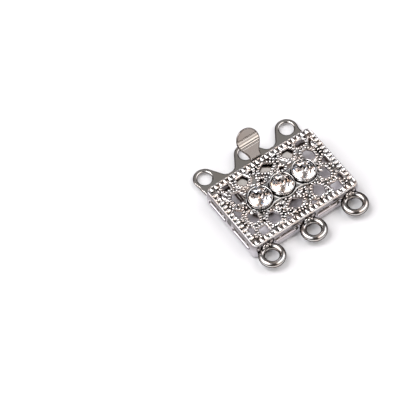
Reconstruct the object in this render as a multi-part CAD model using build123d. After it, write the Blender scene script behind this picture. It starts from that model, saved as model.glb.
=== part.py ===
from build123d import *
import math
import os
from typing import NamedTuple

# Box clasp for three strands: a pierced box with three loops and three stones,
# and a folded spring tongue with three ears and a thumb tab.
# Millimetres, +Z up. The loops point to -Y, the tongue leaves the box towards +Y.

# Box
BOX_LENGTH = 18.7
BOX_DEPTH = 12.4
BOX_HEIGHT = 3.3
BOX_CORNER = 0.8
WALL = 0.5
TOP_SHEET = 0.4
BOTTOM_SHEET = 0.4
RELIEF = 0.2
SIDE_BULGE = 0.28
FRONT_BULGE = 0.12

# Border of the top: a plain rim, then a band of ribs across it
RIM_WIDTH = 0.15
BAND_WIDTH = 0.8
RIB_PITCH = 0.82
RIB_WIDTH = 0.42
FIELD_MARGIN = 0.1

# Pierced field: every opening has a raised wire round it
WIRE_WIDTH = 0.3
OPENING_CORNER = 0.12

# Slots in the walls
SLOT_HEIGHT = 0.85
SLOT_MIDDLE = 1.95
SIDE_SLOT = 4.1
SIDE_PILLAR = 1.8
FRONT_SLOT = 3.9

# Strands: the outer ones sit this far in from the ends of the box
STRANDS = 3
STRAND_INSET = 1.9

# Loops, the rings at the front
LOOP_WIRE = 1.04
LOOP_HOLE = 2.12
LOOP_LAND = 0.04
LOOP_MIDDLE = 1.4
LOOP_REACH = 1.6

# Settings and stones
STONES = 3
STONE_PITCH = 3.95
STONE_WIDTH = 3.3
STONE_GAP = 0.04
GIRDLE_HEIGHT = 0.12
GIRDLE_LEVEL = 4.1
CROWN_HEIGHT = 0.45
PAVILION_TILT = 32.0
CUP_WALL = 0.18
CULET_WIDTH = 0.08
GIRDLE_SIDES = 16
TABLE_SHARE = 0.56
CUP_LIP = 0.06
STRIP_WIDTH = 3.6
STRIP_HEIGHT = 0.4

# Tongue: the lower leaf runs in the box and carries the ears outside it
TONGUE_SHEET = 0.35
TONGUE_WIDTH = 10.8
TONGUE_INSERT = 7.6
NOSE_CORNER = 1.2
FOLD_INSIDE = 0.15
SLIDE_GAP = 0.15
FLOOR_GAP = 0.05
EAR_WIDTH = 3.55
EAR_HOLE = 2.2
EAR_REACH = 3.0
EAR_FOOT = 2.97
BAR_INSET = 0.4
EAR_GAP = 0.1
BAR_REACH = 1.7
VALLEY_RADIUS = 0.4

# Spring leaf, its catch behind the lip of the mouth, and the thumb tab
SEAM_GAP = 0.02
CATCH_CLEAR = 0.15
CATCH_DEPTH = 0.2
CATCH_GAP = 0.1
NECK_WIDTH = 2.0
NECK_GAP = 0.25
BEND_START = 0.05
BEND_INSIDE = 0.35
TAB_TILT = 50.0
TAB_REACH = 3.1
HEAD_WIDTH = 3.85
NECK_FLARE = 0.8
RIDGE_WIDTH = 0.28
RIDGE_HEIGHT = 0.12


class Level(NamedTuple):
    """One section of the box wall, as shares of its height and bulge."""

    height: float
    bulge: float


class Opening(NamedTuple):
    """One opening right of the middle, as shares of the field's half length and half depth.

    Its side is 1 at the back, -1 at the front and 0 on the line between them."""

    shape: str
    side: int
    x: float
    y: float
    half_x: float
    half_y: float


class Facet(NamedTuple):
    """A ring of facets: how many, their tilt, their turn in girdle sides, and the share of the girdle's
    radius that they start from. A side of -1 is under the girdle, and a tilt there follows the pavilion's."""

    count: int
    tilt: float
    turn: float
    start: float
    side: int


class Ridge(NamedTuple):
    """A ridge across the thumb tab, as a share of the way from the bend to the head's middle."""

    along: float
    width: float


WALL_LEVELS = (Level(0.0, 0.3), Level(0.45, 1.0), Level(1.0, 0.0))

# Corner points of each shape, on a square that reaches from -1 to 1
SHAPES = {
    "kite": ((0, 1), (1, 0), (0, -1), (-1, 0)),
    "point_out": ((-1, -1), (1, -1), (0, 1)),
    "point_in": ((-1, 1), (1, 1), (0, -1)),
    "heart": ((-1, 0.1), (-0.55, 1), (0.55, 1), (1, 0.1), (0.3, -1), (-0.3, -1)),
    "square": ((-1, -1), (1, -1), (1, 1), (-1, 1)),
    "drop": ((-1, -0.3), (-0.2, -1), (0.8, -0.8), (1, 0.3), (0.4, 1), (-0.6, 0.9)),
    "arrow": ((1, -1), (1, 1), (-1, 0)),
    "sliver": ((-1, -0.6), (0.2, -1), (1, -0.8), (1, 1), (-0.2, 0.8)),
}

OPENINGS = (
    Opening("kite", 1, 0.0, 0.785, 0.155, 0.155),
    Opening("point_out", 1, 0.215, 0.53, 0.06, 0.06),
    Opening("point_in", 1, 0.27, 0.93, 0.06, 0.045),
    Opening("heart", 1, 0.49, 0.81, 0.115, 0.165),
    Opening("square", 1, 0.79, 0.9, 0.08, 0.085),
    Opening("drop", 1, 0.765, 0.43, 0.11, 0.19),
    Opening("sliver", 1, 0.95, 0.74, 0.04, 0.13),
    Opening("arrow", 0, 0.925, 0.0, 0.065, 0.17),
    Opening("kite", -1, 0.0, 0.66, 0.16, 0.18),
    Opening("point_out", -1, 0.235, 0.485, 0.065, 0.055),
    Opening("point_in", -1, 0.275, 0.92, 0.075, 0.06),
    Opening("heart", -1, 0.48, 0.68, 0.115, 0.18),
    Opening("square", -1, 0.78, 0.865, 0.085, 0.115),
    Opening("drop", -1, 0.77, 0.33, 0.095, 0.19),
    Opening("sliver", -1, 0.95, 0.68, 0.04, 0.13),
)

RIDGES = (Ridge(0.76, 0.7), Ridge(0.9, 1.0), Ridge(1.2, 1.0))

FACETS = (
    Facet(16, 46.0, 0.5, 0.98, 1),
    Facet(8, 37.0, 0.0, 1.0, 1),
    Facet(16, 1.08, 0.5, 0.98, -1),
    Facet(8, 1.0, 0.0, 1.0, -1),
)
STAR_TILT = 20.0

# Levels that follow from the sizes above
TOP_FACE = BOX_HEIGHT - RELIEF
TOP_UNDER = TOP_FACE - TOP_SHEET
BACK = BOX_DEPTH / 2
FRONT = -BOX_DEPTH / 2
BACK_INNER = BACK - WALL
STRAND_PITCH = (BOX_LENGTH - 2 * STRAND_INSET) / (STRANDS - 1)
STRAND_XS = [(i - (STRANDS - 1) / 2) * STRAND_PITCH for i in range(STRANDS)]
GAP_XS = [(a + b) / 2 for a, b in zip(STRAND_XS, STRAND_XS[1:])]
STONE_XS = [(i - (STONES - 1) / 2) * STONE_PITCH for i in range(STONES)]
STONE_RADIUS = STONE_WIDTH / 2
CUP_RADIUS = STONE_RADIUS + STONE_GAP + CUP_WALL
CUP_TOP = GIRDLE_LEVEL + GIRDLE_HEIGHT / 2 + CUP_LIP

LOOP_RADIUS = (LOOP_HOLE + LOOP_WIRE) / 2 - LOOP_LAND
LOOP_Y = FRONT - LOOP_REACH
LOOP_TIP = LOOP_Y - LOOP_RADIUS - LOOP_WIRE / 2

PLATE_UNDER = BOTTOM_SHEET + FLOOR_GAP
EAR_Y = BACK + EAR_REACH
EAR_TIP = EAR_Y + EAR_WIDTH / 2
PLATE_BACK = BACK + BAR_REACH
PLATE_FRONT = BACK + EAR_GAP
FOLD_OUTSIDE = FOLD_INSIDE + TONGUE_SHEET
FOLD_Y = BACK - TONGUE_INSERT + FOLD_OUTSIDE
FOLD_Z = PLATE_UNDER + FOLD_OUTSIDE
MOUTH_WIDTH = TONGUE_WIDTH + 2 * SLIDE_GAP
BAR_HALF = BOX_LENGTH / 2 - BAR_INSET

CATCH_Y = BACK_INNER - CATCH_GAP
CATCH_TOP = TOP_UNDER - CATCH_CLEAR
LIP_UNDER = CATCH_TOP - CATCH_DEPTH
LEAF_TILT = math.degrees(math.atan2(CATCH_TOP - FOLD_Z - FOLD_OUTSIDE, CATCH_Y - FOLD_Y))
LEAF_LENGTH = (CATCH_Y - FOLD_Y) / math.cos(math.radians(LEAF_TILT))
NECK_LENGTH = (BACK + BEND_START - CATCH_Y) / math.cos(math.radians(LEAF_TILT))
BEND_OUTSIDE = BEND_INSIDE + TONGUE_SHEET

# The origin is under the middle of the whole clasp
MIDDLE_Y = (EAR_TIP + LOOP_TIP) / 2


def upright(low, high, sketch):
    """A sketch in plan, made solid between two levels."""
    return extrude(Pos(0, 0, low) * sketch, high - low)


def tilted(y, z, rise):
    """A plane through (0, y, z) whose own Y climbs by this angle towards the back."""
    angle = math.radians(rise)
    return Plane((0, y, z), x_dir=(1, 0, 0), z_dir=(0, -math.sin(angle), math.cos(angle)))


def box_body():
    """The outside of the box, with its walls bulging at the sides and the front."""
    sections = []
    for level in WALL_LEVELS:
        front = FRONT_BULGE * level.bulge
        length = BOX_LENGTH + 2 * SIDE_BULGE * level.bulge
        outline = RectangleRounded(length, BOX_DEPTH + front, BOX_CORNER)
        sections.append(Pos(0, -front / 2, TOP_FACE * level.height) * outline)
    return loft(sections)


def box_hollow():
    """The room inside the box."""
    inner = RectangleRounded(BOX_LENGTH - 2 * WALL, BOX_DEPTH - 2 * WALL, BOX_CORNER / 2)
    return upright(BOTTOM_SHEET, TOP_UNDER, inner)


def mouth():
    """The way in for the tongue: a wide mouth, and a notch in its lip for the neck of the tab."""
    depth = 2 * WALL
    wide = Pos(0, BACK) * Rectangle(MOUTH_WIDTH, depth)
    narrow = Pos(0, BACK) * Rectangle(NECK_WIDTH + 2 * NECK_GAP, depth)
    return upright(BOTTOM_SHEET, LIP_UNDER, wide) + upright(LIP_UNDER, TOP_UNDER, narrow)


def wall_slots():
    """Long rounded slots: two through each side wall, and one between each pair of loops."""
    slots = []
    reach = 2 * (WALL + SIDE_BULGE)
    side = extrude(Plane.YZ * SlotOverall(SIDE_SLOT, SLOT_HEIGHT), reach / 2, both=True)
    for x in (-BOX_LENGTH / 2, BOX_LENGTH / 2):
        for y in (-1, 1):
            middle = y * (SIDE_SLOT + SIDE_PILLAR) / 2
            slots.append(Pos(x, middle, SLOT_MIDDLE) * side)
    front = extrude(Plane.XZ * SlotOverall(FRONT_SLOT, SLOT_HEIGHT), reach / 2, both=True)
    for x in GAP_XS:
        slots.append(Pos(x, FRONT, SLOT_MIDDLE) * front)
    return slots


def opening_outlines():
    """The outline of every opening: each one right of the middle, mirrored where it isn't its own image."""
    half_x = BOX_LENGTH / 2 - RIM_WIDTH - BAND_WIDTH - FIELD_MARGIN
    half_y = BOX_DEPTH / 2 - RIM_WIDTH - BAND_WIDTH - FIELD_MARGIN
    outlines = []
    for row in OPENINGS:
        points = [
            ((row.x + px * row.half_x) * half_x, (row.y + py * row.half_y) * half_y)
            for px, py in SHAPES[row.shape]
        ]
        sy = row.side or 1
        for sx in (1, -1) if row.x else (1,):
            outline = make_face(Polyline([(sx * x, sy * y) for x, y in points], close=True))
            outlines.append(fillet(outline.vertices(), OPENING_CORNER))
    return outlines


def border_ribs():
    """Ribs across the border band, evenly spaced along each side of the box."""
    ribs = []
    sink = TOP_SHEET / 2
    height = RELIEF + sink
    inset = RIM_WIDTH + BAND_WIDTH / 2
    sides = ((BOX_LENGTH, BOX_DEPTH, 0), (BOX_DEPTH, BOX_LENGTH, 90))
    for run, across, turn in sides:
        span = run - 2 * (BOX_CORNER if turn == 0 else BAND_WIDTH + RIM_WIDTH)
        count = max(int(span / RIB_PITCH), 1)
        for i in range(count):
            along = (i - (count - 1) / 2) * RIB_PITCH
            for side in (-1, 1):
                place = Pos(along, side * (across / 2 - inset), TOP_FACE - sink + height / 2)
                ribs.append(Rot(0, 0, turn) * place * Box(RIB_WIDTH, BAND_WIDTH, height))
    return ribs


def raised_wires(outlines):
    """A raised wire round each opening, and the low rim round the whole top."""
    wires = []
    for outline in outlines:
        grown = offset(outline, WIRE_WIDTH, kind=Kind.ARC)
        wires.append(upright(TOP_FACE - TOP_SHEET / 2, BOX_HEIGHT, grown))
    outside = RectangleRounded(BOX_LENGTH, BOX_DEPTH, BOX_CORNER)
    rim = offset(outside, -RIM_WIDTH, kind=Kind.ARC)
    wires.append(upright(TOP_FACE - TOP_SHEET / 2, TOP_FACE + RELIEF / 2, outside - rim))
    return wires


def settings():
    """The strip of the stones with its three cups."""
    strip = Rectangle((STONES - 1) * STONE_PITCH, STRIP_WIDTH)
    blanks = [upright(TOP_UNDER, TOP_FACE + STRIP_HEIGHT, strip)]
    for x in STONE_XS:
        blanks.append(upright(TOP_UNDER, CUP_TOP, Pos(x, 0) * Circle(CUP_RADIUS)))
    return blanks


def stone_seats():
    """The hollow of each cup: straight above the girdle, and a cone under it."""
    seats = []
    radius = STONE_RADIUS + STONE_GAP
    low = GIRDLE_LEVEL - GIRDLE_HEIGHT / 2 - STONE_GAP
    depth = radius * math.tan(math.radians(PAVILION_TILT))
    for x in STONE_XS:
        straight = upright(low, CUP_TOP + RELIEF, Pos(x, 0) * Circle(radius))
        cone = Pos(x, 0, low - depth / 2) * Cone(CULET_WIDTH / 2, radius, depth)
        seats.append(straight + cone)
    return seats


def loops():
    """Rings at the front, each bored to an even hole."""
    rings = []
    for x in STRAND_XS:
        ring = Torus(LOOP_RADIUS, LOOP_WIRE / 2) - Cylinder(LOOP_HOLE / 2, LOOP_WIRE)
        rings.append(Pos(x, LOOP_Y, LOOP_MIDDLE) * ring)
    return rings


def loop_holes():
    """The holes of the loops, cut again after the rings are joined to the wall."""
    return [Pos(x, LOOP_Y, LOOP_MIDDLE) * Cylinder(LOOP_HOLE / 2, LOOP_WIRE) for x in STRAND_XS]


def box_shell():
    """The box with its pierced top, border, settings and loops, soldered into one piece."""
    outlines = opening_outlines()
    holes = [upright(TOP_UNDER - RELIEF, BOX_HEIGHT + RELIEF, outline) for outline in outlines]
    shell = box_body() - box_hollow()
    shell = shell + raised_wires(outlines) + border_ribs()
    shell = shell - holes
    shell = shell - [mouth(), *wall_slots()]
    shell = shell + settings() - stone_seats()
    shell = shell + loops()
    return shell - loop_holes()


def cut_ring(blank, count, tilt, turn, radius, level):
    """Cut a ring of equal facets, each one at this tilt through a point of this radius and level."""
    for i in range(count):
        angle = math.radians(turn * 360 / GIRDLE_SIDES + i * 360 / count)
        lean = math.radians(tilt)
        outward = (math.sin(lean) * math.cos(angle), math.sin(lean) * math.sin(angle), math.cos(lean))
        start = (radius * math.cos(angle), radius * math.sin(angle), level)
        blank = split(blank, Plane(start, z_dir=outward), keep=Keep.BOTTOM)
    return blank


def stone():
    """A round stone cut with flat facets, its girdle round the origin's level."""
    half = GIRDLE_HEIGHT / 2
    depth = STONE_RADIUS * math.tan(math.radians(PAVILION_TILT)) + half
    table = half + CROWN_HEIGHT
    blank = Pos(0, 0, -depth) * extrude(RegularPolygon(STONE_RADIUS, GIRDLE_SIDES), depth + table)
    for row in FACETS:
        tilt = row.tilt if row.side > 0 else 180 - row.tilt * PAVILION_TILT
        blank = cut_ring(blank, row.count, tilt, row.turn, row.start * STONE_RADIUS, row.side * half)
    star = GIRDLE_SIDES // 2
    return cut_ring(blank, star, STAR_TILT, 1.0, TABLE_SHARE * STONE_RADIUS, table)


def ear_outline(x):
    """One ear in plan: a round eye on a foot that widens towards the bar, and stops at the bar's ends."""
    left = max(x - EAR_FOOT, -BAR_HALF)
    right = min(x + EAR_FOOT, BAR_HALF)
    eye = Pos(x, EAR_Y) * Circle(EAR_WIDTH / 2)
    toe = Line((left, PLATE_BACK), (right, PLATE_BACK))
    return make_hull(eye.edges() + [toe])


def leaf_outline(start, end):
    """A leaf of the tongue in plan, with rounded corners at its folded end."""
    sheet = Pos(0, (start + end) / 2) * Rectangle(TONGUE_WIDTH, end - start)
    nose = sheet.vertices().sort_by(Axis.Y)[:2]
    return fillet(nose, NOSE_CORNER)


def tongue_plate():
    """The lower leaf with its fold at one end and the bar with the ears at the other."""
    bar = Pos(0, (PLATE_FRONT + PLATE_BACK) / 2) * Rectangle(2 * BAR_HALF, PLATE_BACK - PLATE_FRONT)
    outline = bar + [ear_outline(x) for x in STRAND_XS]
    valleys = [
        v for v in outline.vertices()
        if abs(v.Y - PLATE_BACK) < SEAM_GAP and abs(v.X) < STRAND_XS[-1]
    ]
    outline = fillet(valleys, VALLEY_RADIUS)
    outline = outline + leaf_outline(FOLD_Y, PLATE_FRONT)
    outline = outline - [Pos(x, EAR_Y) * Circle(EAR_HOLE / 2) for x in STRAND_XS]
    plate = upright(PLATE_UNDER, PLATE_UNDER + TONGUE_SHEET, outline)
    width = TONGUE_WIDTH - 2 * NOSE_CORNER
    start = Plane((0, FOLD_Y, PLATE_UNDER + TONGUE_SHEET / 2), x_dir=(1, 0, 0), z_dir=(0, -1, 0))
    section = start * Rectangle(width, TONGUE_SHEET)
    fold = revolve(section, Axis((0, FOLD_Y, FOLD_Z), (-1, 0, 0)), 180 - LEAF_TILT)
    return plate + fold


def spring_leaf():
    """The upper leaf, its neck through the notch, the bend and the thumb tab with its ridges."""
    slope = tilted(FOLD_Y, FOLD_Z, LEAF_TILT)
    leaf = leaf_outline(SEAM_GAP, LEAF_LENGTH)
    neck = Pos(0, LEAF_LENGTH + NECK_LENGTH / 2) * Rectangle(NECK_WIDTH, NECK_LENGTH)
    flat = extrude(slope * Pos(0, 0, FOLD_INSIDE) * (leaf + neck), TONGUE_SHEET)

    end = slope * Pos(0, LEAF_LENGTH + NECK_LENGTH, FOLD_INSIDE + TONGUE_SHEET / 2)
    across = Plane(end.position, x_dir=(1, 0, 0), z_dir=slope.y_dir)
    centre = (slope * Pos(0, LEAF_LENGTH + NECK_LENGTH, FOLD_OUTSIDE + BEND_INSIDE)).position
    bend = revolve(across * Rectangle(NECK_WIDTH, TONGUE_SHEET), Axis(centre, (1, 0, 0)), TAB_TILT - LEAF_TILT)

    climb = tilted(centre.Y, centre.Z, TAB_TILT)
    head = Pos(0, TAB_REACH) * Circle(HEAD_WIDTH / 2)
    stalk = Pos(0, TAB_REACH / 2) * Rectangle(NECK_WIDTH, TAB_REACH)
    outline = head + stalk
    joints = [v for v in outline.vertices() if v.Y > SEAM_GAP]
    outline = fillet(joints, NECK_FLARE)
    tab = extrude(climb * Pos(0, 0, -BEND_OUTSIDE) * outline, TONGUE_SHEET)
    ridges = []
    for row in RIDGES:
        bar = Pos(0, row.along * TAB_REACH) * Rectangle(HEAD_WIDTH, row.width * RIDGE_WIDTH)
        ridges.append(extrude(climb * Pos(0, 0, -BEND_INSIDE) * (outline & bar), RIDGE_HEIGHT))
    return flat + bend + tab + ridges


def main():
    """Build every piece in the frame of the whole clasp and write it."""
    os.makedirs("parts", exist_ok=True)
    pieces = {"box_shell": box_shell(), "tongue_plate": tongue_plate(), "spring_leaf": spring_leaf()}
    cut = stone()
    for name, x in zip(("stone_left", "stone_middle", "stone_right"), STONE_XS):
        pieces[name] = Pos(x, 0, GIRDLE_LEVEL) * cut
    for name, piece in pieces.items():
        export_step(Pos(0, -MIDDLE_Y, 0) * piece, f"parts/{name}.step")
        print(f"{name}: {piece.volume:.2f} cubic mm")
    print(f"loop holes at x {STRAND_XS}, y {LOOP_Y - MIDDLE_Y:.4f}, z {LOOP_MIDDLE:.4f}")
    print(f"ear holes at x {STRAND_XS}, y {EAR_Y - MIDDLE_Y:.4f}, z {PLATE_UNDER + TONGUE_SHEET / 2:.4f}")
    print(f"leaf turns about y {FOLD_Y - MIDDLE_Y:.4f}, z {FOLD_Z:.4f}, rise {LEAF_TILT:.3f} degrees")


main()
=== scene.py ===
"""Box clasp for three strands: its looks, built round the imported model.

Lengths are millimetres until a mesh is made. Places are given from the middle of the box's underside:
x runs along the box, y towards the tongue and z up. Stage.place turns them into the frame's metres.
"""

import logging
import math
from dataclasses import dataclass, field
from enum import Enum
from typing import Callable, Iterable, Optional, Sequence, Union

import bmesh
import bpy
import numpy as np
from mathutils import Matrix, Vector


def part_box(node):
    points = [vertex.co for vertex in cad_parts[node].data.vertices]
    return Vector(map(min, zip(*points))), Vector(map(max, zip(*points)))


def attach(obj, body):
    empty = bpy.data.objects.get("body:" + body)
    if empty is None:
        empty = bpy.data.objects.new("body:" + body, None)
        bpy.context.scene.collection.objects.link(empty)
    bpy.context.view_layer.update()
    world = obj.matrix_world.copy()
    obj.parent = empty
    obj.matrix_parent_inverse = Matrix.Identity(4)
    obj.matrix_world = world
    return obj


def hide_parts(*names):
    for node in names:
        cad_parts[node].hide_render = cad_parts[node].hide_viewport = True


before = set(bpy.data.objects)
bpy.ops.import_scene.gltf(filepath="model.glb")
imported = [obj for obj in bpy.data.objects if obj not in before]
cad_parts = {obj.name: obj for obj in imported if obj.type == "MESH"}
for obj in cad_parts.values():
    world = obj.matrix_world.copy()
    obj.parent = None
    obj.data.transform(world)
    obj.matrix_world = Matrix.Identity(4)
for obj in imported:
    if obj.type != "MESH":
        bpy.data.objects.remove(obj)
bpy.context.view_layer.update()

Array = np.ndarray
Colour = tuple[float, float, float]
Distance = Callable[[Array], Array]
Offset = Callable[[Array, Array], Array]

log = logging.getLogger("clasp")

MM = 0.001
FULL_TURN = 2 * math.pi

# Box: the same sizes as the solid model
BOX_LENGTH = 18.7
BOX_DEPTH = 12.4
BOX_CORNER = 0.8
HALF_BOX = (BOX_LENGTH / 2, BOX_DEPTH / 2)
BACK = BOX_DEPTH / 2
FRONT = -BOX_DEPTH / 2
TOP_FACE = 3.1
RELIEF = 0.2
RIM_WIDTH = 0.15
BAND_WIDTH = 0.8
BAND_GAP = 0.1
FIELD_EDGE = RIM_WIDTH + BAND_WIDTH + BAND_GAP

STRAND_XS = (-7.45, 0.0, 7.45)
STONE_XS = (-3.95, 0.0, 3.95)
CUP_RADIUS = 1.87


# Plane shapes, as signed distances that are negative inside

def polygon_distance(points: Array, corners: Array) -> Array:
    """Distance to a closed polygon.

    Args:
        points: places in the plane, one row each.
        corners: the polygon's corners in order.

    Returns:
        The distance of each point.
    """
    best = np.full(len(points), np.inf)
    inside = np.zeros(len(points), bool)
    for a, b in zip(corners, np.roll(corners, -1, axis=0)):
        edge = b - a
        away = points - a
        along = np.clip(away @ edge / (edge @ edge), 0, 1)
        gap = away - along[:, None] * edge
        best = np.minimum(best, np.einsum("ij,ij->i", gap, gap))
        above_a = points[:, 1] >= a[1]
        above_b = points[:, 1] >= b[1]
        side = edge[0] * away[:, 1] - edge[1] * away[:, 0]
        inside ^= (above_a & ~above_b & (side < 0)) | (~above_a & above_b & (side > 0))
    return np.where(inside, -1, 1) * np.sqrt(best)


def box_distance(points: Array, centre: Sequence[float], half: Sequence[float], corner: float,
                 upper: Optional[float] = None) -> Array:
    """Distance to an upright rectangle with rounded corners.

    Args:
        points: places in the plane.
        centre: the rectangle's middle.
        half: its half sizes.
        corner: its corner radius.
        upper: the radius of its two upper corners, where that differs.

    Returns:
        The distance of each point.
    """
    away = points - np.asarray(centre)
    radius = np.where(away[:, 1] < 0, corner, corner if upper is None else upper)
    over = np.abs(away) - np.asarray(half) + radius[:, None]
    outside = np.linalg.norm(np.maximum(over, 0), axis=1)
    return outside + np.minimum(over.max(axis=1), 0) - radius


def disc_distance(points: Array, centre: Sequence[float], radius: float) -> Array:
    """Distance to a disc."""
    return np.linalg.norm(points - np.asarray(centre), axis=1) - radius


def smooth_union(a: Array, b: Array, blend: float) -> Array:
    """Joins two shapes and fills the inner corner between them over this length."""
    near = np.maximum(blend - np.abs(a - b), 0) / blend
    return np.minimum(a, b) - near * near * blend / 4


def inset(corners: Array, depth: float) -> Array:
    """Draws in all sides of a convex polygon.

    Args:
        corners: its corners in order.
        depth: how far the sides move.

    Returns:
        The new corners.
    """
    centre = corners.mean(axis=0)
    sides = np.roll(corners, -1, axis=0) - corners
    normals = np.stack([sides[:, 1], -sides[:, 0]], axis=1)
    normals /= np.linalg.norm(normals, axis=1)[:, None]
    normals *= np.sign(np.einsum("ij,ij->i", corners - centre, normals))[:, None]
    levels = np.einsum("ij,ij->i", corners, normals) - depth
    pairs = [[k - 1, k] for k in range(len(corners))]
    return np.array([np.linalg.solve(normals[pair], levels[pair]) for pair in pairs])


def heading(angle: float) -> Array:
    """The unit vector at this angle in radians."""
    return np.array([math.cos(angle), math.sin(angle)])


def rays(angles: Array) -> Array:
    """The unit vectors at these angles, one row each."""
    return np.column_stack([np.cos(angles), np.sin(angles)])


# Heights and edges of sheet

def ridge(distance: Array, crest: float, half: float) -> Array:
    """A round ridge's height, from 0 to 1, along lines at this distance."""
    share = (distance - crest) / half
    return np.sqrt(np.maximum(1 - share * share, 0))


def rounded(depth: Array, reach: Union[float, Array]) -> Array:
    """A round edge's height: nought at the outline and 1 from this depth on."""
    share = 1 - np.clip(depth / reach, 0, 1)
    return np.sqrt(np.maximum(1 - share * share, 0))


def rounded_side(height: float, reach: float) -> Offset:
    """A side of sheet at this offset, round at its edges over this depth."""
    return lambda uv, depth: height * rounded(depth, reach)


def lying(level: float) -> Offset:
    """Places sheet flat, with its middle at this level."""
    return lambda uv, offset: np.column_stack([uv, level + offset])


def always(number: int) -> Distance:
    """The same number for every place."""
    return lambda uv: np.full(len(uv), number)


# Meshes

@dataclass
class Shell:
    """A surface as points in millimetres and faces of three or four corners."""

    points: Array
    quads: Array = field(default_factory=lambda: np.zeros((0, 4), int))
    tris: Array = field(default_factory=lambda: np.zeros((0, 3), int))

    @staticmethod
    def joined(parts: Iterable["Shell"]) -> "Shell":
        """Puts surfaces together.

        Args:
            parts: the surfaces.

        Returns:
            All of them as one.
        """
        points, quads, tris, start = [], [], [], 0
        for part in parts:
            points.append(part.points)
            quads.append(part.quads + start)
            tris.append(part.tris + start)
            start += len(part.points)
        return Shell(np.concatenate(points), np.concatenate(quads), np.concatenate(tris))

    def moved(self, offset: Sequence[float], size: Union[float, Sequence[float]] = 1.0,
              turn: float = 0.0) -> "Shell":
        """Copies the surface to a place.

        Args:
            offset: how far it moves, as the last step.
            size: how much it grows, in all or along each axis, as the first step.
            turn: how far it turns about z, in radians.

        Returns:
            The copy.
        """
        c, s = heading(turn)
        spin = np.array([[c, -s, 0], [s, c, 0], [0, 0, 1]])
        return Shell(self.points * np.asarray(size) @ spin.T + np.asarray(offset), self.quads, self.tris)

    def triangles(self) -> int:
        """How many triangles the surface has."""
        return 2 * len(self.quads) + len(self.tris)


def ball(level: int) -> Shell:
    """Makes a ball of radius 1.

    Args:
        level: how often its 20 faces are split.

    Returns:
        The ball.
    """
    bm = bmesh.new()
    bmesh.ops.create_icosphere(bm, subdivisions=level, radius=1)
    points = np.array([v.co[:] for v in bm.verts])
    tris = np.array([[v.index for v in f.verts] for f in bm.faces])
    bm.free()
    return Shell(points, tris=tris)


def grid_quads(rings: int, spokes: int, closed: bool = False) -> Array:
    """Faces between rings of points.

    Args:
        rings: how many rings there are.
        spokes: how many points each ring has.
        closed: whether the last ring meets the first.

    Returns:
        The faces, ring by ring.
    """
    quads = []
    for i in range(rings if closed else rings - 1):
        a = i * spokes + np.arange(spokes)
        b = (i + 1) % rings * spokes + np.arange(spokes)
        quads.append(np.stack([a, np.roll(a, -1), np.roll(b, -1), b], axis=1))
    return np.concatenate(quads)


def capped(rings: Sequence[Array], poles: Sequence[Sequence[float]]) -> Shell:
    """Closes a tube of rings by a fan at each end.

    Args:
        rings: the points of each ring.
        poles: the middles of the first fan and the last.

    Returns:
        The closed surface.
    """
    body = np.concatenate(rings)
    spokes = len(rings[0])
    first = np.arange(spokes)
    last = first + len(body) - spokes
    low = np.stack([np.roll(first, -1), first, np.full(spokes, len(body))], axis=1)
    high = np.stack([last, np.roll(last, -1), np.full(spokes, len(body) + 1)], axis=1)
    return Shell(np.concatenate([body, poles]), grid_quads(len(rings), spokes), np.concatenate([low, high]))


def pillow(rings: int, spokes: int, ends: float, flanks: float) -> Shell:
    """Makes a bar along y that reaches 1 each way.

    Args:
        rings: how many steps it has along its length.
        spokes: how many steps it has round it.
        ends: how round its ends are, from 0 for square to 1 for round.
        flanks: how it is cut across: 0 is square, 1 is round and 2 is a ridge with flat flanks.

    Returns:
        The bar.
    """
    lat = np.linspace(-math.pi / 2, math.pi / 2, rings + 1)[1:-1]
    lon = np.arange(spokes) * FULL_TURN / spokes

    def power(values: Array, share: float) -> Array:
        """Values raised to a power, with their signs kept."""
        return np.sign(values) * np.abs(values) ** share

    across = power(np.cos(lat), ends)
    body = np.stack([
        np.outer(across, power(np.sin(lon), flanks)),
        np.outer(power(np.sin(lat), ends), np.ones(spokes)),
        np.outer(across, power(np.cos(lon), flanks)),
    ], axis=-1)
    return capped(body, ((0, -1, 0), (0, 1, 0)))


def lathe(profile: Sequence[tuple[float, float]], spokes: int) -> Shell:
    """Turns a closed profile about z.

    Args:
        profile: its radii and heights.
        spokes: how many steps there are round.

    Returns:
        The closed ring.
    """
    way = rays(np.arange(spokes) * FULL_TURN / spokes)
    rings = [np.column_stack([radius * way, np.full(spokes, level)]) for radius, level in profile]
    return Shell(np.concatenate(rings), grid_quads(len(profile), spokes, closed=True))


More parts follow.
